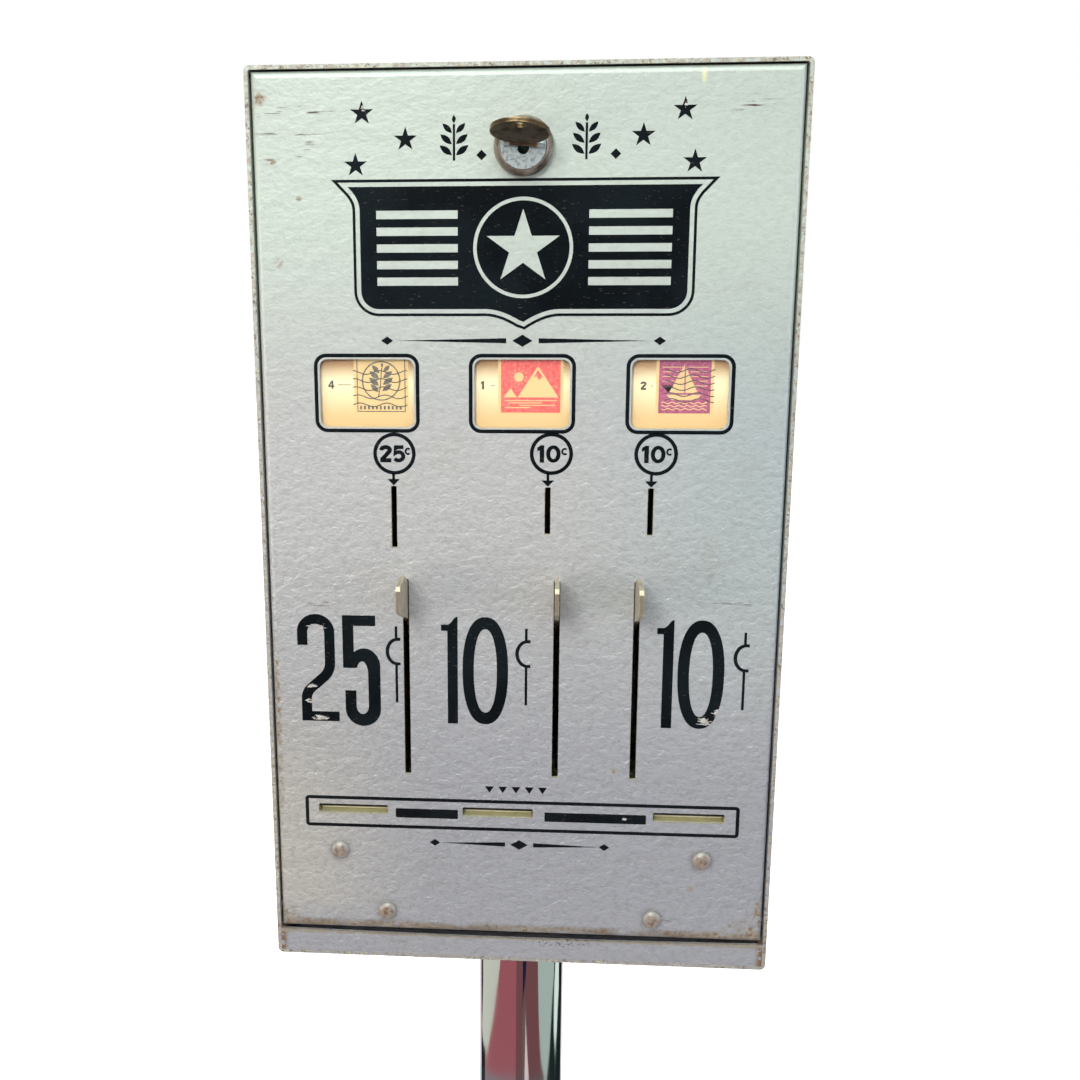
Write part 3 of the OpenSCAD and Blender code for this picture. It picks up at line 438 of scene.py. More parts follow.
# Black vitreous enamel on a casting: slightly wavy, dusty on top and chipped at the rim.
def castEnamel(name, colour="#1a1b1d"):
    material, tree, shader = newFinish(name, colour, 0.28, Coat_Weight=0.3, Coat_Roughness=0.15)
    shape = addNode(tree, "ShaderNodeNewGeometry")
    upward = addNode(tree, "ShaderNodeSeparateXYZ", {0: shape.outputs["Normal"]})
    level = addNode(tree, "ShaderNodeMapRange", {"Value": upward.outputs[axisZ], "From Min": 0.4,
                    "From Max": 1.0, "To Max": 0.35}).outputs[0]
    dusty = times(tree, level, blotches(tree, 40, 0.3, 0.7))
    chips = times(tree, blotches(tree, 7, 0.66, 0.69, shift=7.0), blotches(tree, 80, 0.45, 0.6))
    rough = addNode(tree, "ShaderNodeMapRange", {"Value": dusty, "To Min": 0.26, "To Max": 0.9})
    wavy = addNode(tree, "ShaderNodeTexNoise", {"Vector": ownPlace(tree), "Scale": 1 / (5 * mm),
                   "Detail": 3.0})
    bump = addNode(tree, "ShaderNodeBump", {"Strength": 0.5, "Distance": 0.25 * mm,
                   "Height": wavy.outputs[0]})
    feed(tree, shader, laidOver(tree, colour, [
        (dusty, "#6d6a66"), (chips, "#5b4a40"), (rubbedEdges(tree, 2.0, size=8.0), "#55504c")]),
        rough.outputs[0], bump.outputs[0])
    return material


# Paper and card: matt fibre with an aged mottle, and other colours laid over it from given heights up.
def paperFinish(name, colour, agedAndLitTone, *bands):
    material, tree, shader = newFinish(name, colour, 0.78)
    fibres = blotches(tree, 0.5, 0.2, 0.8, (1, 1, 2))
    mottled = addNode(tree, "ShaderNodeMath", {0: fibres, 1: 0.18}, operation="MULTIPLY").outputs[0]
    bump = addNode(tree, "ShaderNodeBump", {"Strength": 0.3, "Distance": 0.03 * mm, "Height": fibres})
    feed(tree, shader, laidOver(tree, colour, [(mottled, agedAndLitTone)] + [(passing(tree, axisZ, *heights), shade)
         for shade, heights in bands]), normal=bump.outputs[0])
    return material


# Recess-printed ink: its lines hold a little more ink in places.
def printingInk(name, colour, faded):
    material, tree, shader = newFinish(name, colour, 0.6)
    feed(tree, shader, laidOver(tree, colour, [(blotches(tree, 1.2, 0.35, 0.75), faded)]))
    return material


# Clear acetate sheet: light passes it, and it mirrors a little.
def clearAcetate(name):
    material, tree, shader = newFinish(name, "#fbfdfa", 0.04, Transmission_Weight=1.0, IOR=1.45)
    rough = addNode(tree, "ShaderNodeMapRange", {"Value": blotches(tree, 8, 0.4, 0.8), "To Min": 0.02,
                    "To Max": 0.12})
    feed(tree, shader, rough=rough.outputs[0])
    path = addNode(tree, "ShaderNodeLightPath")
    through = addNode(tree, "ShaderNodeBsdfTransparent")
    both = addNode(tree, "ShaderNodeMixShader", {0: path.outputs["Is Shadow Ray"], 1: shader.outputs[0],
                   2: through.outputs[0]})
    out = next(n for n in tree.nodes if n.type == "OUTPUT_MATERIAL")
    tree.links.new(both.outputs[0], out.inputs["Surface"])
    return material


# Moulded black rubber, dulled by dust.
def mouldedRubber(name, colour="#1b1b1b"):
    material, tree, shader = newFinish(name, colour, 0.75)
    bump = addNode(tree, "ShaderNodeBump", {"Strength": 0.4, "Distance": 0.05 * mm,
                   "Height": blotches(tree, 0.8, 0.3, 0.7)})
    feed(tree, shader, laidOver(tree, colour, [(blotches(tree, 4, 0.4, 0.8), "#3c3a37")]),
         normal=bump.outputs[0])
    return material


# Silver paint rubbed off the crown of each rivet, down to a pinkish primer.
def rivetFinish(name, colour="#aaa7a3"):
    material, tree, shader = newFinish(name, colour, 0.42, 0.4)
    crown = passing(tree, axisY, -1.1, -2.0)
    rubbed = times(tree, crown, blotches(tree, 5, 0.3, 0.55))
    rust = times(tree, crown, blotches(tree, 2.2, 0.46, 0.66, shift=4.0))
    bump = addNode(tree, "ShaderNodeBump", {"Strength": 0.5, "Distance": 0.12 * mm,
                   "Height": blotches(tree, 1.4, 0.2, 0.8)})
    feed(tree, shader, laidOver(tree, colour, [(rubbed, "#b5a08f"), (rust, "#7b6656")]),
         normal=bump.outputs[0])
    return material


doorEnamel = hammeredEnamel("hammeredDoorEnamel", cutEdges=True)
caseEnamel = hammeredEnamel("hammeredCaseEnamel", rim=True)
lipEnamel = hammeredEnamel("hammeredLipEnamel", ends=True)
blackScreen = screenedEnamel("screenedBlackEnamel", screenInk)
# name, colour, tarnish, rubbed edge, roughness
zincPlate = metalFinish("zincPlatedSteel", "#a3a6a8", "#7c766c", "#cfcdc6", 0.38, size=14, depth=0.015)
brightRod = metalFinish("turnedSteelRod", "#b4b7b9", "#85817a", "#dcdcd8", 0.26, size=9)
nickelLever = metalFinish("wornNickelBrass", "#c9bfa6", "#9a8b70", "#f6efd2", 0.42, size=7, marks=0.5,
                          edge=0.8, shift=2.0, metallic=0.75, tarnishAmount=0.5)
dullBrass = metalFinish("dullBrass", "#9a8150", "#6d5a38", "#cbb070", 0.38, size=8, shift=3.0)
# The lock disc's brass is dark all over: tarnish, and painted shade for its face that turns down.
discBrass = metalFinish("tarnishedAndShadedBrass", "#6e5b45", "#4a3b33", "#c9ac77", 0.34, size=5, shift=4.0, edge=1.2)
bezelMetal = metalFinish("wornLockBezel", "#a59a8e", "#6d5e52", "#d8d2c8", 0.3, size=7, shift=5.5,
                         metallic=0.85)
plugMetal = metalFinish("turnedLockPlug", "#ccd8d9", "#98a1a1", "#eef2f0", 0.42, size=1.3, shift=6.0,
                        metallic=0.65)
weightIron = metalFinish("castWeight", "#55585c", "#46413c", "#8d8f92", 0.6, size=9, depth=0.12, shift=7.0,
                         marks=1.5)
passivated = metalFinish("yellowPassivatedPlate", "#dcd6ae", "#b5aa80", "#f2efd6", 0.45, size=10, marks=0.6,
                         shift=8.0, metallic=0.45, tarnishAmount=0.35)
# Painted shadow: the magazine plate is darkened in a band near the front, under the sheet over the outlet
# slot.
magazinePlate = metalFinish("magazinePlateWithPaintedShadow", "#dcd6ae", "#b5aa80", "#f2efd6", 0.45, size=10, marks=0.6,
                            shift=8.5, metallic=0.3, tarnishAmount=0.35, slotShadowBand=((70.8, 71.1), (84, 82)))
galvanised = galvanisedPlate("galvanisedPlate")
chrome = polishedChrome("polishedChrome")
castBlack = castEnamel("blackCastEnamel")
rubber = mouldedRubber("mouldedRubber")
acetate = clearAcetate("clearAcetate")
rivetPaint = rivetFinish("rubbedRivetPaint")
# The sample card turns paler from its foot up, and its brown band along the top is painted shadow from the
# window's upper edge.
creamCard = paperFinish("creamSampleCard", "#d6b383", "#c2986a", ("#f0debb", (241, 262)),
                        ("#9c7048", (257, 268)))
stampPaper = paperFinish("yellowedStampPaper", "#d8b987", "#c29c66")
folderCard = paperFinish("foldedCoverCard", "#e6dcc0", "#cfc3a2")
# The same cover card made paler: painted light on the next cover, which sits in shade inside its outlet.
coverCardPaintedLight = paperFinish("coverCardPaintedLighter", "#fffbe4", "#efe4bf")
sepiaInk = printingInk("sepiaStampInk", "#4b4a4b", "#7d7468")
redInk = printingInk("redStampInk", "#d4484a", "#e27a72")
magentaInk = printingInk("magentaStampInk", "#96385f", "#b4668a")
postmarkInk = printingInk("postmarkInk", "#2c2a2b", "#5b5550")

nodeFinishes = {
    "door_panel": doorEnamel, "housing_shell": caseEnamel, "back_panel": caseEnamel, "bottom_lip": lipEnamel,
    "hinge_pins": brightRod, "stay_studs": brightRod, "lock_strike": zincPlate, "cash_box": galvanised,
    "post_flange": zincPlate, "flange_bolts": brightRod, "post": chrome, "stand_base": castBlack,
    "base_screws": brightRod, "base_feet": rubber, "hinge_plates": zincPlate, "door_brackets": zincPlate,
    "window_panes": acetate, "card_frames": passivated, "mechanism_deck": passivated,
    "guide_rods": brightRod, "lever_shaft": brightRod, "shaft_collars": dullBrass, "lock_body": bezelMetal,
    "lock_nut": zincPlate, "lock_plug": plugMetal, "lock_cam": zincPlate, "lock_disc": discBrass,
    "disc_pin": brightRod,
}
for side in sides:
    nodeFinishes.update({
        f"magazine_{side}": magazinePlate, f"coin_chute_{side}": dullBrass, f"lever_{side}": nickelLever,
        f"ejector_{side}": zincPlate, f"follower_{side}": weightIron,
    })
for nodeName, finish in nodeFinishes.items():
    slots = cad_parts[nodeName].data.materials
    for k in range(len(slots)):
        slots[k] = finish
    if not slots:
        slots.append(finish)
print("finishes on", len(nodeFinishes), "nodes")

floorSettings = {"half": 7, "colour": "#f1f1f1", "roughness": 0.9, "fade": (0.4, 1.5), "glow": (0.5, 1.0)}


# An object from a form of bmesh, in the scene unless it is only a pattern for a node tree.
def meshed(name, form, inScene=True):
    mesh = bpy.data.meshes.new(name)
    form.to_mesh(mesh)
    form.free()
    return shown(name, mesh) if inScene else bpy.data.objects.new(name, mesh)


# A plain pale floor that takes the object's shadow and fades to white away from it.
def makeFloor(s):
    form = bmesh.new()
    bmesh.ops.create_grid(form, x_segments=1, y_segments=1, size=s["half"])
    floor = meshed("floor", form)
    material, tree, shader = newFinish("paleStudioFloor", s["colour"], s["roughness"])
    seen = addNode(tree, "ShaderNodeLightPath")
    away = addNode(tree, "ShaderNodeVectorMath", {0: ownPlace(tree)}, operation="LENGTH")
    (near, far), (dim, full) = s["fade"], s["glow"]
    fade = addNode(tree, "ShaderNodeMapRange", {"Value": away.outputs["Value"], "From Min": near,
                   "From Max": far, "To Min": dim, "To Max": full}, interpolation_type="SMOOTHSTEP")
    shader.inputs["Emission Color"].default_value = (1, 1, 1, 1)
    tree.links.new(times(tree, seen.outputs["Is Camera Ray"], fade.outputs[0]),
                   shader.inputs["Emission Strength"])
    floor.data.materials.append(material)


makeFloor(floorSettings)

# Cards round the object that only polished surfaces see: strips of coloured floor between bounds
# given at each radius, in degrees from the front, and a darker room beyond them.
cardSettings = {
    "radii": (1.2, 1.253, 1.304, 1.362, 1.413, 1.455, 1.495, 1.75),    # m
    "start": 0.3, "far": 2.7, "tall": 1.75, "lift": 0.004,
    "pale": ("#e3e6e5", 0.34, 0.7),    # like the floor beside the base, out to its own colour
    "bounds": [
        (-208,) * 8, (-142,) * 8, (-117, -117, -137, -131, -128, -128, -128, -128),
        (-117, -117, -90, -77, -69.5, -63, -58.6, -50), (-12,) * 8, (5.5,) * 8,
        (5.5, 5.5, 5.5, 5.5, 8, 13, 14.8, 16), (12, 13, 14, 12, 10, 13, 14.8, 16),
        (24, 19.6, 16.5, 12, 10, 13, 14.8, 16), (70, 57, 53.5, 50.5, 49, 48, 47, 46),
        (80, 88, 91, 94, 98, 102, 103, 104), (112, 112, 104, 104, 104, 106, 108, 109),
        (112, 112, 120, 123, 127, 126, 126, 126), (148,) * 8, (152,) * 8,
    ],
    "near": ["#e9e6ea", "#33383a", "#bdbdb8", "#8f878b", "#625d5e", "#2a2b36", "#6e6a6b", "#d9d3d2",
             "#6b6667", "#a3aaa6", "#262d2c", "#dfe6e1", "#20282a", "#c9c9cc"],
    "floor": ["#fff2f4", "#20292a", "#d9dacb", "#ab6167", "#7e5153", "#20203e", "#746462", "#f6d9d4",
              "#7d5052", "#b7c7bc", "#1d2a28", "#f2fff5", "#182423", "#e6e6ea"],
    "high": [(-110, -55, "#5f646a"), (-55, 50, "#15181b"), (50, 110, "#6a6f72"), (110, 148, "#8c8f92"),
             (148, 160, "#2b2e31"), (160, 190, "#b4b6b8"), (190, 204, "#3c3f42"), (204, 250, "#8c8f92")],
}


# One card between rows of (radius, angle, height), seen only in reflections.
def glossyCard(name, colour, rows, pale=None):
    form = bmesh.new()
    rows = [[form.verts.new((r * math.sin(math.radians(a)), -r * math.cos(math.radians(a)), z))
             for r, a, z in row] for row in rows]
    for one, two in zip(rows, rows[1:]):
        for k in range(len(one) - 1):
            form.faces.new((one[k], one[k + 1], two[k + 1], two[k]))
    made = meshed(name, form)
    material = bpy.data.materials.new(name)
    material.use_nodes = True
    tree = material.node_tree
    tree.nodes.clear()
    shade = hexColour(colour)
    if pale:
        beside, near, far = pale
        away = addNode(tree, "ShaderNodeVectorMath", {0: ownPlace(tree)}, operation="LENGTH")
        out = addNode(tree, "ShaderNodeMapRange", {"Value": away.outputs["Value"], "From Min": near,
                      "From Max": far}, interpolation_type="SMOOTHSTEP")
        shade = laidOver(tree, beside, [(out.outputs[0], colour)])
    lit = addNode(tree, "ShaderNodeEmission", {"Color": shade, "Strength": 1.0})
    addNode(tree, "ShaderNodeOutputMaterial", {"Surface": lit.outputs[0]})
    made.data.materials.append(material)
    made.visible_camera = made.visible_diffuse = made.visible_shadow = False
    made.visible_transmission = made.visible_volume_scatter = False


def glossyCards(s, steps=10, farSteps=12):
    up = s["lift"]
    for k, (low, high) in enumerate(zip(s["bounds"], s["bounds"][1:])):
        shares = [t / steps for t in range(steps + 1)]
        a, b = low[0], high[0]
        glossyCard(f"nearStrip_{k}", s["near"][k], [[(r, a + (b - a) * t, up) for r in
                   (s["start"], s["radii"][0])] for t in shares], s["pale"])
        glossyCard(f"floorStrip_{k}", s["floor"][k], [[(r, a + (b - a) * t, up) for r, a, b in
                   zip(s["radii"], low, high)] for t in shares])
    edge, far = s["radii"][-1], s["far"]
    for k, (a, b, colour) in enumerate(s["high"]):
        turns = [a + (b - a) * t / farSteps for t in range(farSteps + 1)]
        glossyCard(f"farCard_{k}", colour, [[(edge, t, up), (far, t, 0.0), (far, t, s["tall"])]
                                            for t in turns])


glossyCards(cardSettings)


def arc(x, z, rx, start, end, rz=None, steps=14, power=2.0):
    points = []
    for k in range(steps + 1):
        a = math.radians(start + (end - start) * k / steps)
        c, s = math.cos(a), math.sin(a)
        points.append((x + rx * math.copysign(abs(c) ** (2 / power), c),
                       z + (rz or rx) * math.copysign(abs(s) ** (2 / power), s)))
    return points


def box(x0, z0, x1, z1):
    return [(x0, z0), (x1, z0), (x1, z1), (x0, z1)]


def roundedBox(x0, z0, x1, z1, r, steps=6):
    return (arc(x1 - r, z1 - r, r, 90, 0, steps=steps) + arc(x1 - r, z0 + r, r, 0, -90, steps=steps)
            + arc(x0 + r, z0 + r, r, -90, -180, steps=steps) + arc(x0 + r, z1 - r, r, 180, 90, steps=steps))


# Two outlines a line's width apart.
def roundedFrame(x0, z0, x1, z1, r, line):
    return [roundedBox(x0, z0, x1, z1, r),
            roundedBox(x0 + line, z0 + line, x1 - line, z1 - line, r - line)]


# The two sides of a path, offset by half the stroke, with mitred corners.
def stroke(path, width, closed=False):
    n = len(path)
    edges = [[], []]
    for k, here in enumerate(path):
        before = path[k - 1] if k or closed else None
        after = path[(k + 1) % n] if k < n - 1 or closed else None
        ways = []
        for a, b in ((before, here), (here, after)):
            if a is not None and b is not None:
                d = math.dist(a, b)
                ways.append(((b[0] - a[0]) / d, (b[1] - a[1]) / d))
        along = (sum(w[0] for w in ways), sum(w[1] for w in ways))
        size = math.hypot(*along)
        across = (-along[1] / size, along[0] / size)
        stretch = 1 / max(0.4, across[0] * -ways[0][1] + across[1] * ways[0][0])
        for edge, sign in zip(edges, (0.5, -0.5)):
            edge.append((here[0] + sign * width * stretch * across[0],
                         here[1] + sign * width * stretch * across[1]))
    return edges if closed else [edges[0] + edges[1][::-1]]


def moved(loops, dx=0.0, dz=0.0, scale=1.0):
    return [[(dx + scale * x, dz + scale * z) for x, z in loop] for loop in loops]


def diamond(x, z, wide, high):
    return [(x - wide, z), (x, z + high), (x + wide, z), (x, z - high)]


# A curve filled between its outlines and given a thickness, as one mesh standing on the face.
def flatPiece(name, loops, front, back, material, body="door"):
    curve = bpy.data.curves.new(name, "CURVE")
    curve.dimensions = "2D"
    curve.fill_mode = "BOTH"
    curve.extrude = abs(back - front) / 2
    for loop in loops:
        spline = curve.splines.new("POLY")
        spline.points.add(len(loop) - 1)
        for point, (x, z) in zip(spline.points, loop):
            point.co = (x, z, 0, 1)
        spline.use_cyclic_u = True
    drawn = shown(name + "Curve", curve)
    flat = bpy.data.meshes.new_from_object(drawn)
    bpy.data.objects.remove(drawn)
    bpy.data.curves.remove(curve)
    middle = (front + back) / 2
    for vertex in flat.vertices:
        x, z, depth = vertex.co
        vertex.co = place(x, middle - depth, z)
    form = bmesh.new()
    form.from_mesh(flat)
    bpy.data.meshes.remove(flat)
    bmesh.ops.remove_doubles(form, verts=form.verts, dist=1e-6)
    bmesh.ops.recalc_face_normals(form, faces=form.faces)
    made = meshed(name, form)
    made.data.materials.append(material)
    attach(made, body)
    return made


screenFront, screenBack = -0.045, 0.3    # mm: the print's face and the depth that it reaches into the sheet


def screened(name, loops):
    flatPiece(name, loops, screenFront, screenBack, blackScreen)


glyphs = {
    "2": stroke([(2.25, 35)] + arc(8.17, 41, 5.92, 180, 0, steps=20) + arc(5.09, 27, 9, 0, -48, steps=8)
                + arc(10.4, 10.3, 7, 132, 180, steps=8) + [(3.4, 2.22), (17.7, 2.22)], 4.45),
    "5": [[(0, 48.7), (14.4, 48.7), (14.4, 44.0), (4.8, 44.0), (4.8, 31.3)]
          + arc(9.2, 25.6, 7.0, 130, 0, rz=8.2) + arc(8.45, 6.0, 7.75, 0, -180, rz=8.0, steps=24)
          + [(0.7, 14.4), (5.5, 14.4)] + arc(8.2, 7.4, 2.7, 180, 360, rz=3.9)
          + arc(8.3, 22.0, 2.6, 0, 150, rz=5.9) + [(5.4, 24.75), (0, 24.75)]],
    "1": [[(2.7, 0), (7.1, 0), (7.1, 48.7), (6.5, 48.7), (5.7, 48.1), (4.2, 46.1), (3.0, 45.2), (0, 45.1),
           (0, 42.4), (2.7, 42.4)]],
    "0": [arc(9.8, 24.4, 9.8, 0, 350, rz=24.4, steps=70, power=2.3),
          arc(9.8, 24.4, 4.98, 0, 350, rz=19.0, steps=70, power=2.2)],
    "cent": [[(5.2, 6.3), (5.2, 11.4), (4.1, 11.4), (4.1, 6.17)]
             + arc(5.2, 0, 5.2, 102, 258, rz=6.3, steps=20)[1:-1]
             + [(4.1, -6.17), (4.1, -23.4), (5.2, -23.4), (5.2, -6.3), (6.5, -6.3), (6.5, -4.9), (5.2, -4.9)]
             + arc(5.2, 0, 3.7, 270, 90, rz=4.9, steps=16)[1:-1] + [(5.2, 4.9), (6.5, 4.9), (6.5, 6.3)]],
}
priceSettings = {
    "scale": 0.98,
    # piece: glyph, left edge, base, mm
    "pieces": {
        "priceTwo": ("2", -94.6, 112.0), "priceFive": ("5", -75.2, 112.1),
        "firstCent": ("cent", -56.9, 144.1),
        "middleOne": ("1", -33.3, 112.2), "middleNought": ("0", -24.3, 112.2),
        "secondCent": ("cent", -2.1, 144.1),
        "rightOne": ("1", 56.6, 112.4), "rightNought": ("0", 65.5, 112.4),
        "thirdCent": ("cent", 88.2, 144.1),
    },
}
for pieceName, (glyph, x, z) in priceSettings["pieces"].items():
    screened(pieceName, moved(glyphs[glyph], x, z, priceSettings["scale"]))

windowSettings = {"pitch": 62.6, "wide": 42.7, "high": 32.1, "z": 254.05, "line": 1.5, "corner": 5.0}


def windowFrames(s):
    w, h = s["wide"] / 2, s["high"] / 2
    for side, x in zip(sides, (-s["pitch"], 0, s["pitch"])):
        screened(f"windowLine_{side}", roundedFrame(x - w, s["z"] - h, x + w, s["z"] + h, s["corner"],
                                                    s["line"]))


windowFrames(windowSettings)

starSettings = {"outer": 4.73, "inner": 1.81, "spots": [(-62.4, 362.7), (-45.6, 352.8), (-65.2, 343.3),
                (60.9, 362.8), (45.5, 353.5), (65.2, 343.6)]}


def starLoop(outer, inner, points=5):
    return [[(r * math.sin(math.pi * k / points), r * math.cos(math.pi * k / points))
             for k, r in enumerate((outer, inner) * points)]]


for k, (x, z) in enumerate(starSettings["spots"]):
    screened(f"star_{k + 1}", moved(starLoop(starSettings["outer"], starSettings["inner"]), x, z))

ringSettings = {
    "radius": 8.7, "line": 1.5, "digitDrop": 3.6, "centDrop": 0.4,
    # digits, the ring's centre, the arrow's middle, where the digits and the small c start, mm
    "rings": [("25", -51.8, 229.3, -52.3, (-6.2, -0.85, 4.35)), ("10", 12.0, 229.7, 10.7, (-5.7, -2.1, 4.15)),
              ("10", 53.9, 229.8, 52.3, (-5.7, -2.1, 4.15))],
    "arrow": {"overlap": 0.5, "stem": 0.55, "head": 2.55, "shoulder": 218.7, "tip": 216.1},
}
smallGlyphs = {
    "2": stroke([(0.85, 5.0)] + arc(2.6, 5.1, 1.75, 165, -40, rz=1.2, steps=12) + [(1.2, 1.3), (1.2, 0.85),
                (4.9, 0.85)], 1.7),
    "5": stroke([(4.6, 6.3), (1.5, 6.3), (1.3, 3.95)]
                + arc(2.5, 2.55, 2.0, 125, -145, rz=1.75, steps=14), 1.6),
    "1": [[(1.0, 0), (2.8, 0), (2.8, 7.1), (1.4, 7.1), (0, 6.1), (0, 4.6), (1.0, 5.1)]],
    "0": [arc(2.9, 3.55, 2.9, 0, 350, rz=3.55, steps=40, power=2.1),
          arc(2.9, 3.55, 1.25, 0, 350, rz=2.05, steps=40, power=2.0)],
    "4": [[(2.9, 0), (4.4, 0), (4.4, 1.6), (5.3, 1.6), (5.3, 2.9), (4.4, 2.9), (4.4, 7.1), (2.9, 7.1),
           (0, 3.0), (0, 1.6), (2.9, 1.6)], [(2.9, 2.9), (1.5, 2.9), (2.9, 5.0)]],
    "c": stroke(arc(1.2, 1.4, 1.0, 45, 315, rz=1.15, steps=14), 0.75),
}


def coinRings(s):
    r, a = s["radius"], s["arrow"]
    for side, (label, x, z, tip, starts) in zip(sides, s["rings"]):
        loops = [arc(x, z, r, 0, 354, steps=59), arc(x, z, r - s["line"], 0, 354, steps=59)]
        for sign, start, drop in zip(label + "c", starts, (s["digitDrop"], s["digitDrop"], s["centDrop"])):
            loops += moved(smallGlyphs[sign], x + start, z - drop)
        screened(f"coinRing_{side}", loops)
        top, t, h = z - r + a["overlap"], a["stem"], a["head"]
        screened(f"coinArrow_{side}", [[
            (tip - t, top), (tip + t, top), (tip + t, a["shoulder"]), (tip + h, a["shoulder"]),
            (tip, a["tip"]), (tip - h, a["shoulder"]), (tip - t, a["shoulder"])]])


coinRings(ringSettings)

shieldSettings = {
    "ear": (75.0, 337.9), "neck": (69.0, 331.6), "side": 66.8, "shoulder": 326.1, "shoulderRadius": 7.5,
    "corner": 9.8, "base": 285.0, "sweep": 14.5, "tip": (0.8, 279.7), "line": 1.1, "band": 1.7,
    "centre": 311.5, "star": (15.0, 5.73), "rings": (19.5, 18.1),
    "bars": (25.5, 57.5, 297, 326), "barCount": 5,
}


# The shield's outline: one half from the middle of its top to its tip, then its mirror.
def shieldLoop(s):
    half = [s["ear"], s["neck"]]
    r, corner = s["shoulderRadius"], s["corner"]
    half += arc(s["side"] + r, s["shoulder"], r, 135, 180, steps=6)[1:]
    half += arc(s["side"] - corner, s["base"] + corner, corner, 0, -90, steps=10)
    drop = s["base"] - s["tip"][1]
    half += [(s["sweep"] - (s["sweep"] - s["tip"][0]) * t, s["base"] - drop * t ** 1.8)
             for t in [k / 8 for k in range(9)]]
    return half + [(-x, z) for x, z in half[:-1]][::-1]


# A closed outline shrunk by a distance, for loops that bend gently.
def inset(loop, distance):
    edges = stroke(loop, 2 * distance, closed=True)
    one, two = [abs(sum(a[0] * b[1] - b[0] * a[1] for a, b in zip(edge, edge[1:] + edge[:1])))
                for edge in edges]
    return edges[0] if one < two else edges[1]


def stripes(x0, x1, z0, z1, count):
    pitch = (z1 - z0) / (2 * count - 1)
    return [box(x0, z0 + 2 * k * pitch, x1, z0 + (2 * k + 1) * pitch) for k in range(count)]


def shieldPieces(s):
    outer = shieldLoop(s)
    x0, x1, z0, z1 = s["bars"]
    bars = [[(way * x, z) for x, z in bar] for way in (-1, 1)
            for bar in stripes(x0, x1, z0, z1, s["barCount"])]
    screened("shieldLine", [outer, inset(outer, s["line"])])
    screened("shieldPanel", [inset(outer, s["line"] + s["band"])]
             + moved(starLoop(*s["star"]), 0, s["centre"])
             + [arc(0, s["centre"], r, 0, 354, steps=59) for r in s["rings"]] + bars)


shieldPieces(shieldSettings)


# A leaf: two arcs meeting in points, from one end to the other.
def leaf(x0, z0, x1, z1, fat=0.28, steps=6):
    dx, dz = x1 - x0, z1 - z0
    loop = []
    for x, z, way in ((x0, z0, 1), (x1, z1, -1)):
        for t in [k / steps for k in range(steps)]:
            bulge = fat * math.sin(math.pi * t)
            loop.append((x + way * (dx * t - dz * bulge), z + way * (dz * t + dx * bulge)))
    return loop


sprigSettings = {"z": 344.7, "high": 17.0, "stem": 0.9, "diamond": 2.0, "fat": 0.2,
                 "pairs": ((0.12, 5.6), (0.36, 5.3), (0.6, 4.4)),       # share of the height, reach in mm
                 "spots": {"sprigLeft": (-26.8, -16.2), "sprigRight": (24.0, 35.2)}}    # stem, diamond


# Upright sprigs: a stem with pairs of leaves, and a small diamond beside its foot.
def sprigs(s):
    z, high, size = s["z"], s["high"], s["diamond"]
    for name, (x, dotX) in s["spots"].items():
        loops = stroke([(x, z), (x, z + high * 0.8)], s["stem"])
        for share, reach in s["pairs"]:
            for way in (-1, 1):
                loops.append(leaf(x + way * 0.75, z + high * share,
                                  x + way * reach, z + high * (share + 0.22), s["fat"] * way))
        loops += [leaf(x, z + high * 0.82, x, z + high, 0.24), diamond(dotX, z + size, size, size)]
        screened(name, loops)


sprigs(sprigSettings)

ruleSettings = {
    # rule: height, width, thickness and the diamond's half width, mm
    "upperRule": (275.3, 100, 2.0, 4.0), "lowerRule": (56.4, 68, 2.0, 3.8),
}


# A tapered rule with a diamond in the middle and a smaller one towards each end.
def ruledDiamond(name, z, wide, thick, size):
    gap, small = size * 1.6, size * 0.6
    loops = [[(-wide / 2, z), (-gap, z + thick / 2), (-gap, z - thick / 2)],
             [(wide / 2, z), (gap, z - thick / 2), (gap, z + thick / 2)], diamond(0, z, size, small)]
    screened(name, loops + [diamond(way * wide * 0.54, z, small, small * 0.7) for way in (-1, 1)])


for ruleName, sizes in ruleSettings.items():
    ruledDiamond(ruleName, *sizes)

outletSettings = {
    "low": (-93.4, 62.7), "high": (93.8, 77.2), "line": 1.5, "corner": 1.7,
    "bars": [(-53.7, -26.6), (10.9, 54.3)], "barHeights": (67.8, 72.1), "barCorner": 0.3,
    "marks": (-12.9, -7.2, -1.5, 4.2, 9.9), "markHalf": 1.9, "markHeights": (83.6, 80.6),
}


def outletPrint(s):
    loops = roundedFrame(*s["low"], *s["high"], s["corner"], s["line"])
    low, high = s["barHeights"]
    screened("outletLine", loops + [roundedBox(a, low, b, high, s["barCorner"], 2) for a, b in s["bars"]])
    half, (top, tip) = s["markHalf"], s["markHeights"]
    screened("outletMarks", [[(x - half, top), (x + half, top), (x, tip)] for x in s["marks"]])


outletPrint(outletSettings)
print("prints on the door made")

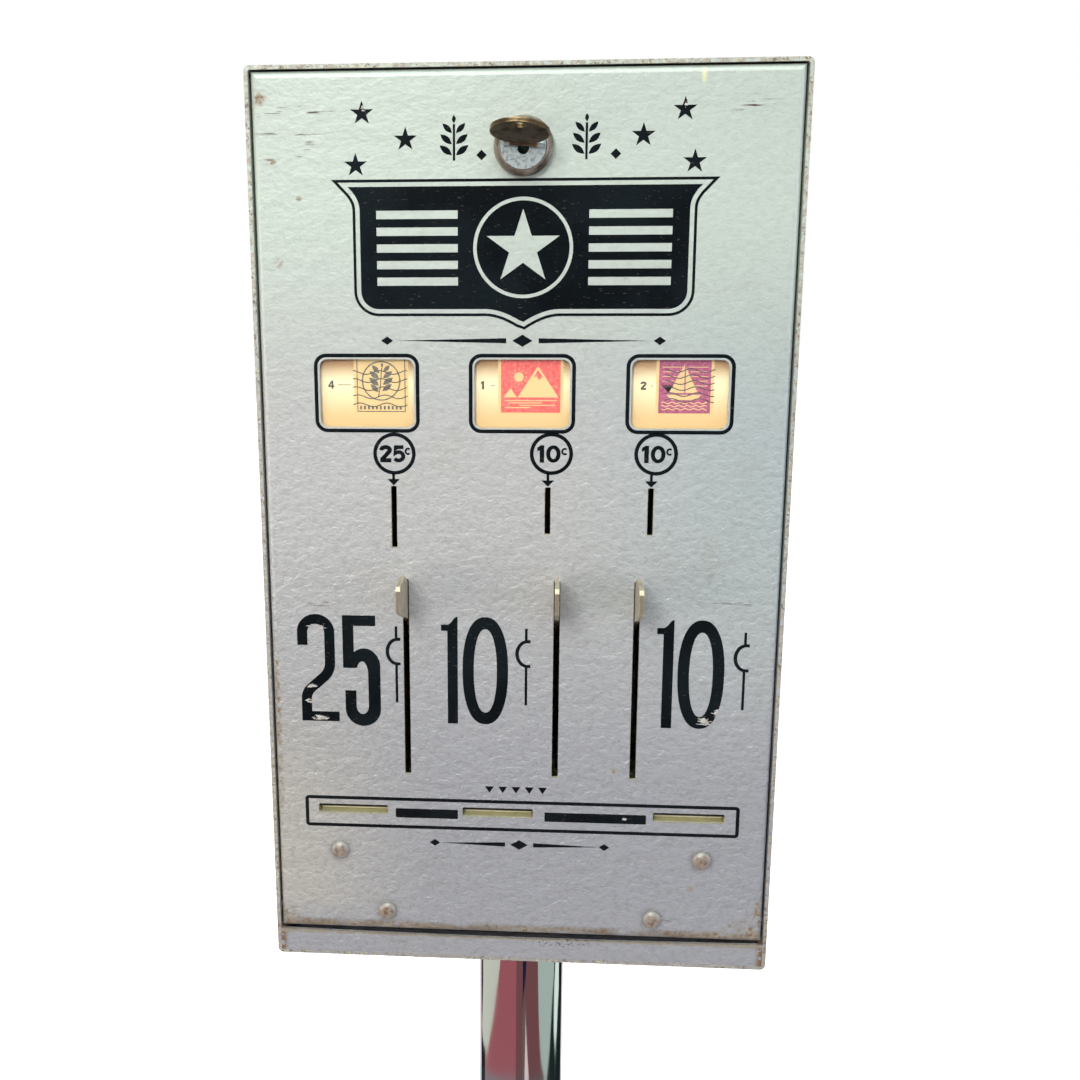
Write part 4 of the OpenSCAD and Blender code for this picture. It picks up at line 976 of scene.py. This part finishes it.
cardLayout = {
    # depths in mm behind the door's face, just behind the pane
    "front": 2.5, "back": 3.0, "paper": 2.46, "ink": 2.43, "postmark": 2.415,
    "size": (42.6, 32.6), "corner": 0.6, "z": 253.9, "pitch": 62.6,
    "numbers": {"left": ("4", -16.0), "middle": ("1", -16.6), "right": ("2", -15.6)},
    "numberRise": 1.6, "numberScale": 0.47,
    "rule": (4.0, 3.1, 1.0, 3.35),     # its start, low edge, gap before the stamp and high edge
    "stamps": {"left": (-5.6, 16.8), "middle": (-9.8, 16.6), "right": (-9.6, 13.4)},
    "foot": -9.3, "head": 15.4,
    "border": (1.3, 1.5, 2.6, 2.8),    # a print in its paper: from left and foot, off width and height
    # the first and last have been through the post: ends and heights of the lines
    "postmarks": {"left": (-5.9, 16.2, (-4.9, -1.6, 1.7, 5.0, 8.3)),
                  "right": (-6.0, 13.6, (-2.6, -0.2, 2.2, 4.6, 7.0, 9.4))},
    "wave": (0.75, 11.0, 0.42), "waveShift": 0.4,    # rise, length and width of the line
}


# A rectangle with the half-round bites of perforations along its sides.
def perforated(x0, z0, x1, z1, bite=0.36, pitch=1.35):
    loop = []
    corners = [(x0, z1), (x1, z1), (x1, z0), (x0, z0)]
    for a, b, turn in zip(corners, corners[1:] + corners[:1], (0, -90, 180, 90)):
        count = max(2, round(math.dist(a, b) / pitch))
        for t in [(k + 0.5) / count for k in range(count)]:
            x, z = a[0] + (b[0] - a[0]) * t, a[1] + (b[1] - a[1]) * t
            loop += arc(x, z, bite, turn + 180, turn + 360, steps=5)
    return loop


def wavyLine(x0, x1, z, rise, wave, width, start=0.0, steps=40):
    return stroke([(x0 + (x1 - x0) * k / steps,
                    z + rise * math.sin(start + 2 * math.pi * (x1 - x0) * k / steps / wave))
                   for k in range(steps + 1)], width)


sprigDesign = {
    "margin": 0.4, "centre": 0.58, "ovals": ((0.4, 0.37), (0.37, 0.345)),    # shares of the width and height
    "stem": ((-1.2, -0.3), (-0.3, -0.1), (0.3, 0.24)), "stemWidth": 0.45,    # mm across, share of the height
    "pairs": ((-0.2, 4.3), (-0.08, 4.9), (0.04, 4.6), (0.15, 3.6)), "fat": 0.22,
    "flutes": 11, "flute": (1.1, 1.0, 0.8, 2.5), "fluteRoom": (2.6, 10.6),
}


# Sepia: a sprig of leaves in an oval, over a fluted foot.
def sprigStamp(x, z, w, h, s=sprigDesign):
    m, cx, cz = s["margin"], x + w / 2, z + h * s["centre"]
    loops = [box(x, z, x + w, z + h), box(x + m, z + m, x + w - m, z + h - m)]
    loops += [arc(cx, cz, w * wide, 0, 352, rz=h * high, steps=44) for wide, high in s["ovals"]]
    loops += stroke([(cx + across, cz + h * up) for across, up in s["stem"]], s["stemWidth"])
    for k, (up, reach) in enumerate(s["pairs"]):
        for way in (-1, 1):
            loops.append(leaf(cx + way * 0.75 - 0.3 + 0.15 * k, cz + h * (up + 0.01 * way),
                              cx + way * reach, cz + h * (up + 0.14), s["fat"]))
    loops.append(leaf(cx + 0.35, cz + h * 0.245, cx + 0.6, cz + h * 0.335, 0.25))
    start, low, wide, high = s["flute"]
    room, share = s["fluteRoom"]
    for k in range(s["flutes"]):
        a = x + start + k * (w - room) / share
        loops.append(box(a, z + low, a + wide, z + high))
    return loops


peaksDesign = {
    "sun": (0.3, 0.66), "sunRadius": 1.9, "rays": 12, "ray": (2.5, 3.9, 0.14), "base": 6.2,
    # shares of the width, with mm below the summit for the snow's edge
    "peak": (0.28, 0.62, 0.97), "summit": 0.86, "foothill": (0.04, 0.16, 0.27), "foothillTop": 0.45,
    "snow": ((0.62, 1.6), (0.545, 4.6), (0.6, 4.0), (0.64, 5.6), (0.7, 4.4)),
    "ripples": ((0.05, 0.95), (0.12, 0.7), (0.3, 0.93), (0.06, 0.5)), "ripple": (1.1, 0.95, 0.5, 0.4),
}


# Red: a sun with rays over two peaks and a lake, left in the paper's colour.
def peaksStamp(x, z, w, h, s=peaksDesign):
    sunX, sunZ = x + w * s["sun"][0], z + h * s["sun"][1]
    loops = [box(x, z, x + w, z + h), arc(sunX, sunZ, s["sunRadius"], 0, 345, steps=23)]
    near, far, half = s["ray"]
    for k in range(s["rays"]):
        a = 2 * math.pi * k / s["rays"]
        c, t = math.cos(a), math.sin(a)
        loops.append([(sunX + near * c - half * t, sunZ + near * t + half * c),
                      (sunX + far * c, sunZ + far * t),
                      (sunX + near * c + half * t, sunZ + near * t - half * c)])
    base, summit = z + s["base"], z + h * s["summit"]
    for (a, b, c), top in ((s["peak"], summit), (s["foothill"], z + h * s["foothillTop"])):
        loops.append([(x + w * a, base), (x + w * b, top), (x + w * c, base)])
    loops.append([(x + w * across, summit - down) for across, down in s["snow"]])
    first, pitch, slant, thick = s["ripple"]
    for k, (a, b) in enumerate(s["ripples"]):
        top = base - first - pitch * k
        loops.append([(x + w * a, top), (x + w * b, top), (x + w * b - slant, top - thick),
                      (x + w * a + slant, top - thick)])
    return loops


boatDesign = {
    "boom": 8.2, "sails": ((-0.2, 0.9, -6.4), (0.3, 0.84, 5.2)),      # mast side, share of the height, clew
    "hull": ((-7.2, 7.5), (6.6, 7.5), (4.8, 5.4), (-5.0, 5.4)), "edge": 1.2,
    "waves": 3, "wave": (0.32, 3.4, 0.38), "waveTop": 4.2, "wavePitch": 1.25, "waveShift": 1.5,
    "clouds": 5, "cloudBase": 0.5, "cloudPitch": 0.085, "cloudThick": 0.3,
    "cloudLeft": (-4.6, 0.9), "cloudRight": (3.9, -0.62),    # mm from the mast, change for each line up
}


# Magenta: a boat under sail between ruled sky and waves.
def boatStamp(x, z, w, h, s=boatDesign):
    loops, mast = [box(x, z, x + w, z + h)], x + w * 0.5
    for near, top, clew in s["sails"]:
        loops.append([(mast + near, z + s["boom"]), (mast + near, z + h * top), (mast + clew, z + s["boom"])])
    loops.append([(mast + across, z + up) for across, up in s["hull"]])
    left, right = x + s["edge"], x + w - s["edge"]
    for k in range(s["waves"]):
        loops += wavyLine(left, right, z + s["waveTop"] - s["wavePitch"] * k, *s["wave"], s["waveShift"] * k)
    for k in range(s["clouds"]):
        up = z + h * (s["cloudBase"] + s["cloudPitch"] * k)
        stop, start = [mast + first + step * k for first, step in (s["cloudLeft"], s["cloudRight"])]
        loops += [box(left, up, stop, up + s["cloudThick"]), box(start, up, right, up + s["cloudThick"])]
    return loops


def sampleCards(s):
    designs = (sprigStamp, sepiaInk), (peaksStamp, redInk), (boatStamp, magentaInk)
    z, w, h = s["z"], s["size"][0] / 2, s["size"][1] / 2
    centres = dict(zip(sides, (-s["pitch"], 0, s["pitch"])))
    for (side, x), (design, ink) in zip(centres.items(), designs):
        card = flatPiece(f"sampleCard_{side}", [roundedBox(x - w, z - h, x + w, z + h, s["corner"], 3)],
                         s["front"], s["back"], creamCard)
        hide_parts(f"sample_card_{side}")
        (digit, left), (a, b), (start, low, gap, high) = s["numbers"][side], s["stamps"][side], s["rule"]
        marks = moved(smallGlyphs[digit], x + left, z + s["numberRise"], s["numberScale"])
        marks.append(box(x + left + start, z + low, x + a - gap, z + high))
        flatPiece(f"cardNumber_{side}", marks, s["ink"], s["front"], postmarkInk)
        flatPiece(f"stampPaper_{side}", [perforated(x + a, z + s["foot"], x + b, z + s["head"])], s["paper"],
                  s["front"], stampPaper)
        inX, inZ, offX, offZ = s["border"]
        loops = design(x + a + inX, z + s["foot"] + inZ, b - a - offX, s["head"] - s["foot"] - offZ)
        flatPiece(f"stampInk_{side}", loops, s["ink"], s["paper"], ink)
    for side, (x0, x1, heights) in s["postmarks"].items():
        x = centres[side]
        for k, up in enumerate(heights):
            flatPiece(f"postmark_{side}_{k + 1}",
                      wavyLine(x + x0, x + x1, z + up, *s["wave"], s["waveShift"] * k),
                      s["postmark"], s["ink"], postmarkInk)


sampleCards(cardLayout)
print("sample cards made")


# A node tree run on an empty mesh and turned into one plain mesh; values go in by socket identifier.
def grown(name, tree, values, body="door"):
    carrier = shown(name + "Carrier", bpy.data.meshes.new(name + "Carrier"))
    modifier = carrier.modifiers.new("grow", "NODES")
    modifier.node_group = tree
    for item in tree.interface.items_tree:
        if item.item_type == "SOCKET" and item.in_out == "INPUT" and item.name in values:
            modifier[item.identifier] = values[item.name]
    mesh = bpy.data.meshes.new_from_object(carrier.evaluated_get(bpy.context.evaluated_depsgraph_get()))
    bpy.data.objects.remove(carrier)
    mesh.name = name
    made = shown(name, mesh)
    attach(made, body)
    return made


def newGroup(name, **inputs):
    tree = bpy.data.node_groups.new(name, "GeometryNodeTree")
    tree.interface.new_socket("Geometry", in_out="OUTPUT", socket_type="NodeSocketGeometry")
    for title, kind in inputs.items():
        tree.interface.new_socket(title, in_out="INPUT", socket_type="NodeSocket" + kind)
    return tree, addNode(tree, "NodeGroupInput").outputs


def closeGroup(tree, geometry, material):
    real = addNode(tree, "GeometryNodeRealizeInstances", {0: geometry})
    coated = addNode(tree, "GeometryNodeSetMaterial", {"Geometry": real.outputs[0], "Material": material})
    addNode(tree, "NodeGroupOutput", {0: coated.outputs[0]})
    return tree


# A mesh swept from a profile in (y, z) along x, kept out of the scene for the trees to copy.
def sweptSource(name, profile, x0, x1):
    form = bmesh.new()
    ends = [[form.verts.new((x * mm, y * mm, z * mm)) for y, z in profile] for x in (x0, x1)]
    n = len(profile)
    for k in range(n):
        form.faces.new((ends[0][k], ends[0][(k + 1) % n], ends[1][(k + 1) % n], ends[1][k]))
    form.faces.new(ends[0][::-1])
    form.faces.new(ends[1])
    bmesh.ops.recalc_face_normals(form, faces=form.faces)
    return meshed(name, form, inScene=False)


folderSettings = {
    "length": 45.4, "width": 28.9, "leaf": 0.3, "shut": 1.14, "pitch": 1.2,
    "sprung": (0.18, 0.04),              # mm: how far the upper and lower leaf lie off the fold's height
    "clear": 0.02,                       # mm under the lowest cover
    "loose": (0.25, 0.006), "held": (0.05, 0.0),      # play in mm and skew in radians
    "stacks": {"left": 1, "middle": 5, "right": 9},   # the seed of each
}


# One cover card folded round a strip of stamps: two leaves joined by a round fold at the front.
def foldedCover(s):
    y0, y1, t, h = -s["length"] / 2, s["length"] / 2, s["leaf"], s["shut"] / 2
    upper, lower = s["sprung"]
    outside = [(y1, h - upper)] + arc(y0 + h, 0, h, 90, 270, steps=8) + [(y1, lower - h)]
    inside = [(y1, lower + t - h)] + arc(y0 + h, 0, h - t, 270, 90, steps=4) + [(y1, h - t - upper)]
    return sweptSource("foldedCover", outside + inside, -s["width"] / 2, s["width"] / 2)


def folderTree(source, play, skew, card, pitch):
    tree, given = newGroup("folderStack", Count="Int", Foot="Vector", Seed="Int")
    line = addNode(tree, "GeometryNodeMeshLine", {"Count": given["Count"], "Start Location": given["Foot"],
                   "Offset": (0, 0, pitch * mm)})
    cover = addNode(tree, "GeometryNodeObjectInfo", {"Object": source})
    skewed, loose = [addNode(tree, "FunctionNodeRandomValue", {"Min": [-v for v in reach], "Max": reach,
                             "Seed": given["Seed"]}, data_type="FLOAT_VECTOR")
                     for reach in ((0, 0, skew), (play * mm, play * mm, 0))]
    shifted = addNode(tree, "GeometryNodeSetPosition", {"Geometry": line.outputs[0],
                      "Offset": loose.outputs[0]})
    stack = addNode(tree, "GeometryNodeInstanceOnPoints", {"Points": shifted.outputs[0],
                    "Instance": cover.outputs["Geometry"], "Rotation": skewed.outputs[0]})
    return closeGroup(tree, stack.outputs[0], card)


def folderStacks(s):
    cover = foldedCover(s)
    stackTree = folderTree(cover, *s["loose"], folderCard, s["pitch"])
    nextTree = folderTree(cover, *s["held"], coverCardPaintedLight, s["pitch"])
    for side, seed in s["stacks"].items():
        for node, name, tree, body in (
                (f"folder_stack_{side}", f"foldedCovers_{side}", stackTree, "door"),
                (f"next_folder_{side}", f"nextCover_{side}", nextTree, f"folder_{side}")):
            low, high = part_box(node)
            count = max(1, int((high[2] - low[2]) / mm / s["pitch"] + 0.01))
            foot = ((low[0] + high[0]) / 2, (low[1] + high[1]) / 2,
                    low[2] + (s["shut"] / 2 + s["clear"]) * mm)
            covers = grown(name, tree, {"Count": count, "Foot": foot, "Seed": seed}, body)
            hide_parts(node)


folderStacks(folderSettings)

springSettings = {
    "wire": 1.1, "coil": 17.4, "turns": 6.25, "spacing": 1.04,      # spacing in wire thicknesses
    "levers": [-48, 15, 48], "sides": [-1, -1, 1], "beside": 2.6, "pivot": (100, 132.2), "deck": 69.2,
    "coilSteps": 40, "wireSteps": 10,
}


# A return spring: close coils round the lever's hub and one leg down to the deck.
def springTree(s):
    tree, given = newGroup("returnSpring", Start="Vector", Way="Float")
    radius, tall = s["coil"] / 2 * mm, (s["pivot"][1] - s["deck"]) * mm
    coil = addNode(tree, "GeometryNodeCurveSpiral", {"Resolution": s["coilSteps"], "Rotations": s["turns"],
                   "Start Radius": radius, "End Radius": radius,
                   "Height": s["wire"] * s["spacing"] * mm * s["turns"]})
    leg = addNode(tree, "GeometryNodeCurvePrimitiveLine", {"Start": (radius, 0, 0),
                  "End": (radius, -tall, 0)})
    both = addNode(tree, "GeometryNodeJoinGeometry")
    for part in (coil, leg):
        tree.links.new(part.outputs[0], both.inputs[0])
    section = addNode(tree, "GeometryNodeCurvePrimitiveCircle", {"Resolution": s["wireSteps"],
                      "Radius": s["wire"] / 2 * mm})
    wire = addNode(tree, "GeometryNodeCurveToMesh", {"Curve": both.outputs[0],
                   "Profile Curve": section.outputs[0], "Fill Caps": True})
    sense = addNode(tree, "ShaderNodeCombineXYZ", {0: 1.0, 1: 1.0, 2: given["Way"]})
    mirrored = addNode(tree, "GeometryNodeTransform", {"Geometry": wire.outputs[0],
                       "Scale": sense.outputs[0]})
    # the coil's own z lies along the shaft, its x points to the rear and its y up
    laid = addNode(tree, "GeometryNodeTransform", {"Geometry": mirrored.outputs[0],
                   "Rotation": (math.radians(90), 0, math.radians(90)), "Translation": given["Start"]})
    return closeGroup(tree, laid.outputs[0], brightRod)


def returnSprings(s):
    tree = springTree(s)
    for side, x, way in zip(sides, s["levers"], s["sides"]):
        start = tuple(place(x + way * s["beside"], *s["pivot"]))
        spring = grown(f"returnSpring_{side}", tree, {"Start": start, "Way": float(way)})
        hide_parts("lever_springs")


returnSprings(springSettings)

rivetSettings = {"spots": enamel["rivets"], "head": 8.4, "rise": 2.2, "shank": 4.0, "tail": 7.0,
                 "tailRise": 1.6, "grip": 3.1, "around": 28, "seed": 3}


# A rivet turned from its outline: domed head in front, shank through the sheets, upset tail behind.
def rivetSource(s):
    half = s["shank"] / 2
    outline = arc(0, 0, s["head"] / 2, -90, 0, rz=s["rise"], steps=10) + [(half, 0), (half, s["grip"])]
    outline += arc(0, s["grip"], s["tail"] / 2, 0, 90, rz=s["tailRise"], steps=6)
    form = bmesh.new()
    edge = [form.verts.new((r * mm, y * mm, 0)) for r, y in outline]
    for a, b in zip(edge, edge[1:]):
        form.edges.new((a, b))
    bmesh.ops.spin(form, geom=form.verts[:] + form.edges[:], cent=(0, 0, 0), axis=(0, 1, 0),
                   angle=2 * math.pi, steps=s["around"])
    bmesh.ops.remove_doubles(form, verts=form.verts, dist=1e-6)
    bmesh.ops.recalc_face_normals(form, faces=form.faces)
    for face in form.faces:
        face.smooth = True
    return meshed("rivet", form, inScene=False)


def doorRivets(s):
    tree, given = newGroup("doorRivets", Seed="Int")
    points = addNode(tree, "GeometryNodeJoinGeometry")
    for x, z in s["spots"]:
        spot = addNode(tree, "GeometryNodePoints", {"Count": 1, "Position": place(x, 0, z), "Radius": 0.01})
        tree.links.new(spot.outputs[0], points.inputs[0])
    turned = addNode(tree, "FunctionNodeRandomValue", {"Min": (0, 0, 0), "Max": (0, 6.28, 0),
                     "Seed": given["Seed"]}, data_type="FLOAT_VECTOR")
    source = addNode(tree, "GeometryNodeObjectInfo", {"Object": rivetSource(s)})
    placed = addNode(tree, "GeometryNodeInstanceOnPoints", {"Points": points.outputs[0],
                     "Instance": source.outputs["Geometry"], "Rotation": turned.outputs[0]})
    rivets = grown("doorRivets", closeGroup(tree, placed.outputs[0], rivetPaint), {"Seed": s["seed"]})
    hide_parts("door_rivets")


doorRivets(rivetSettings)
print("folders, springs and rivets made")
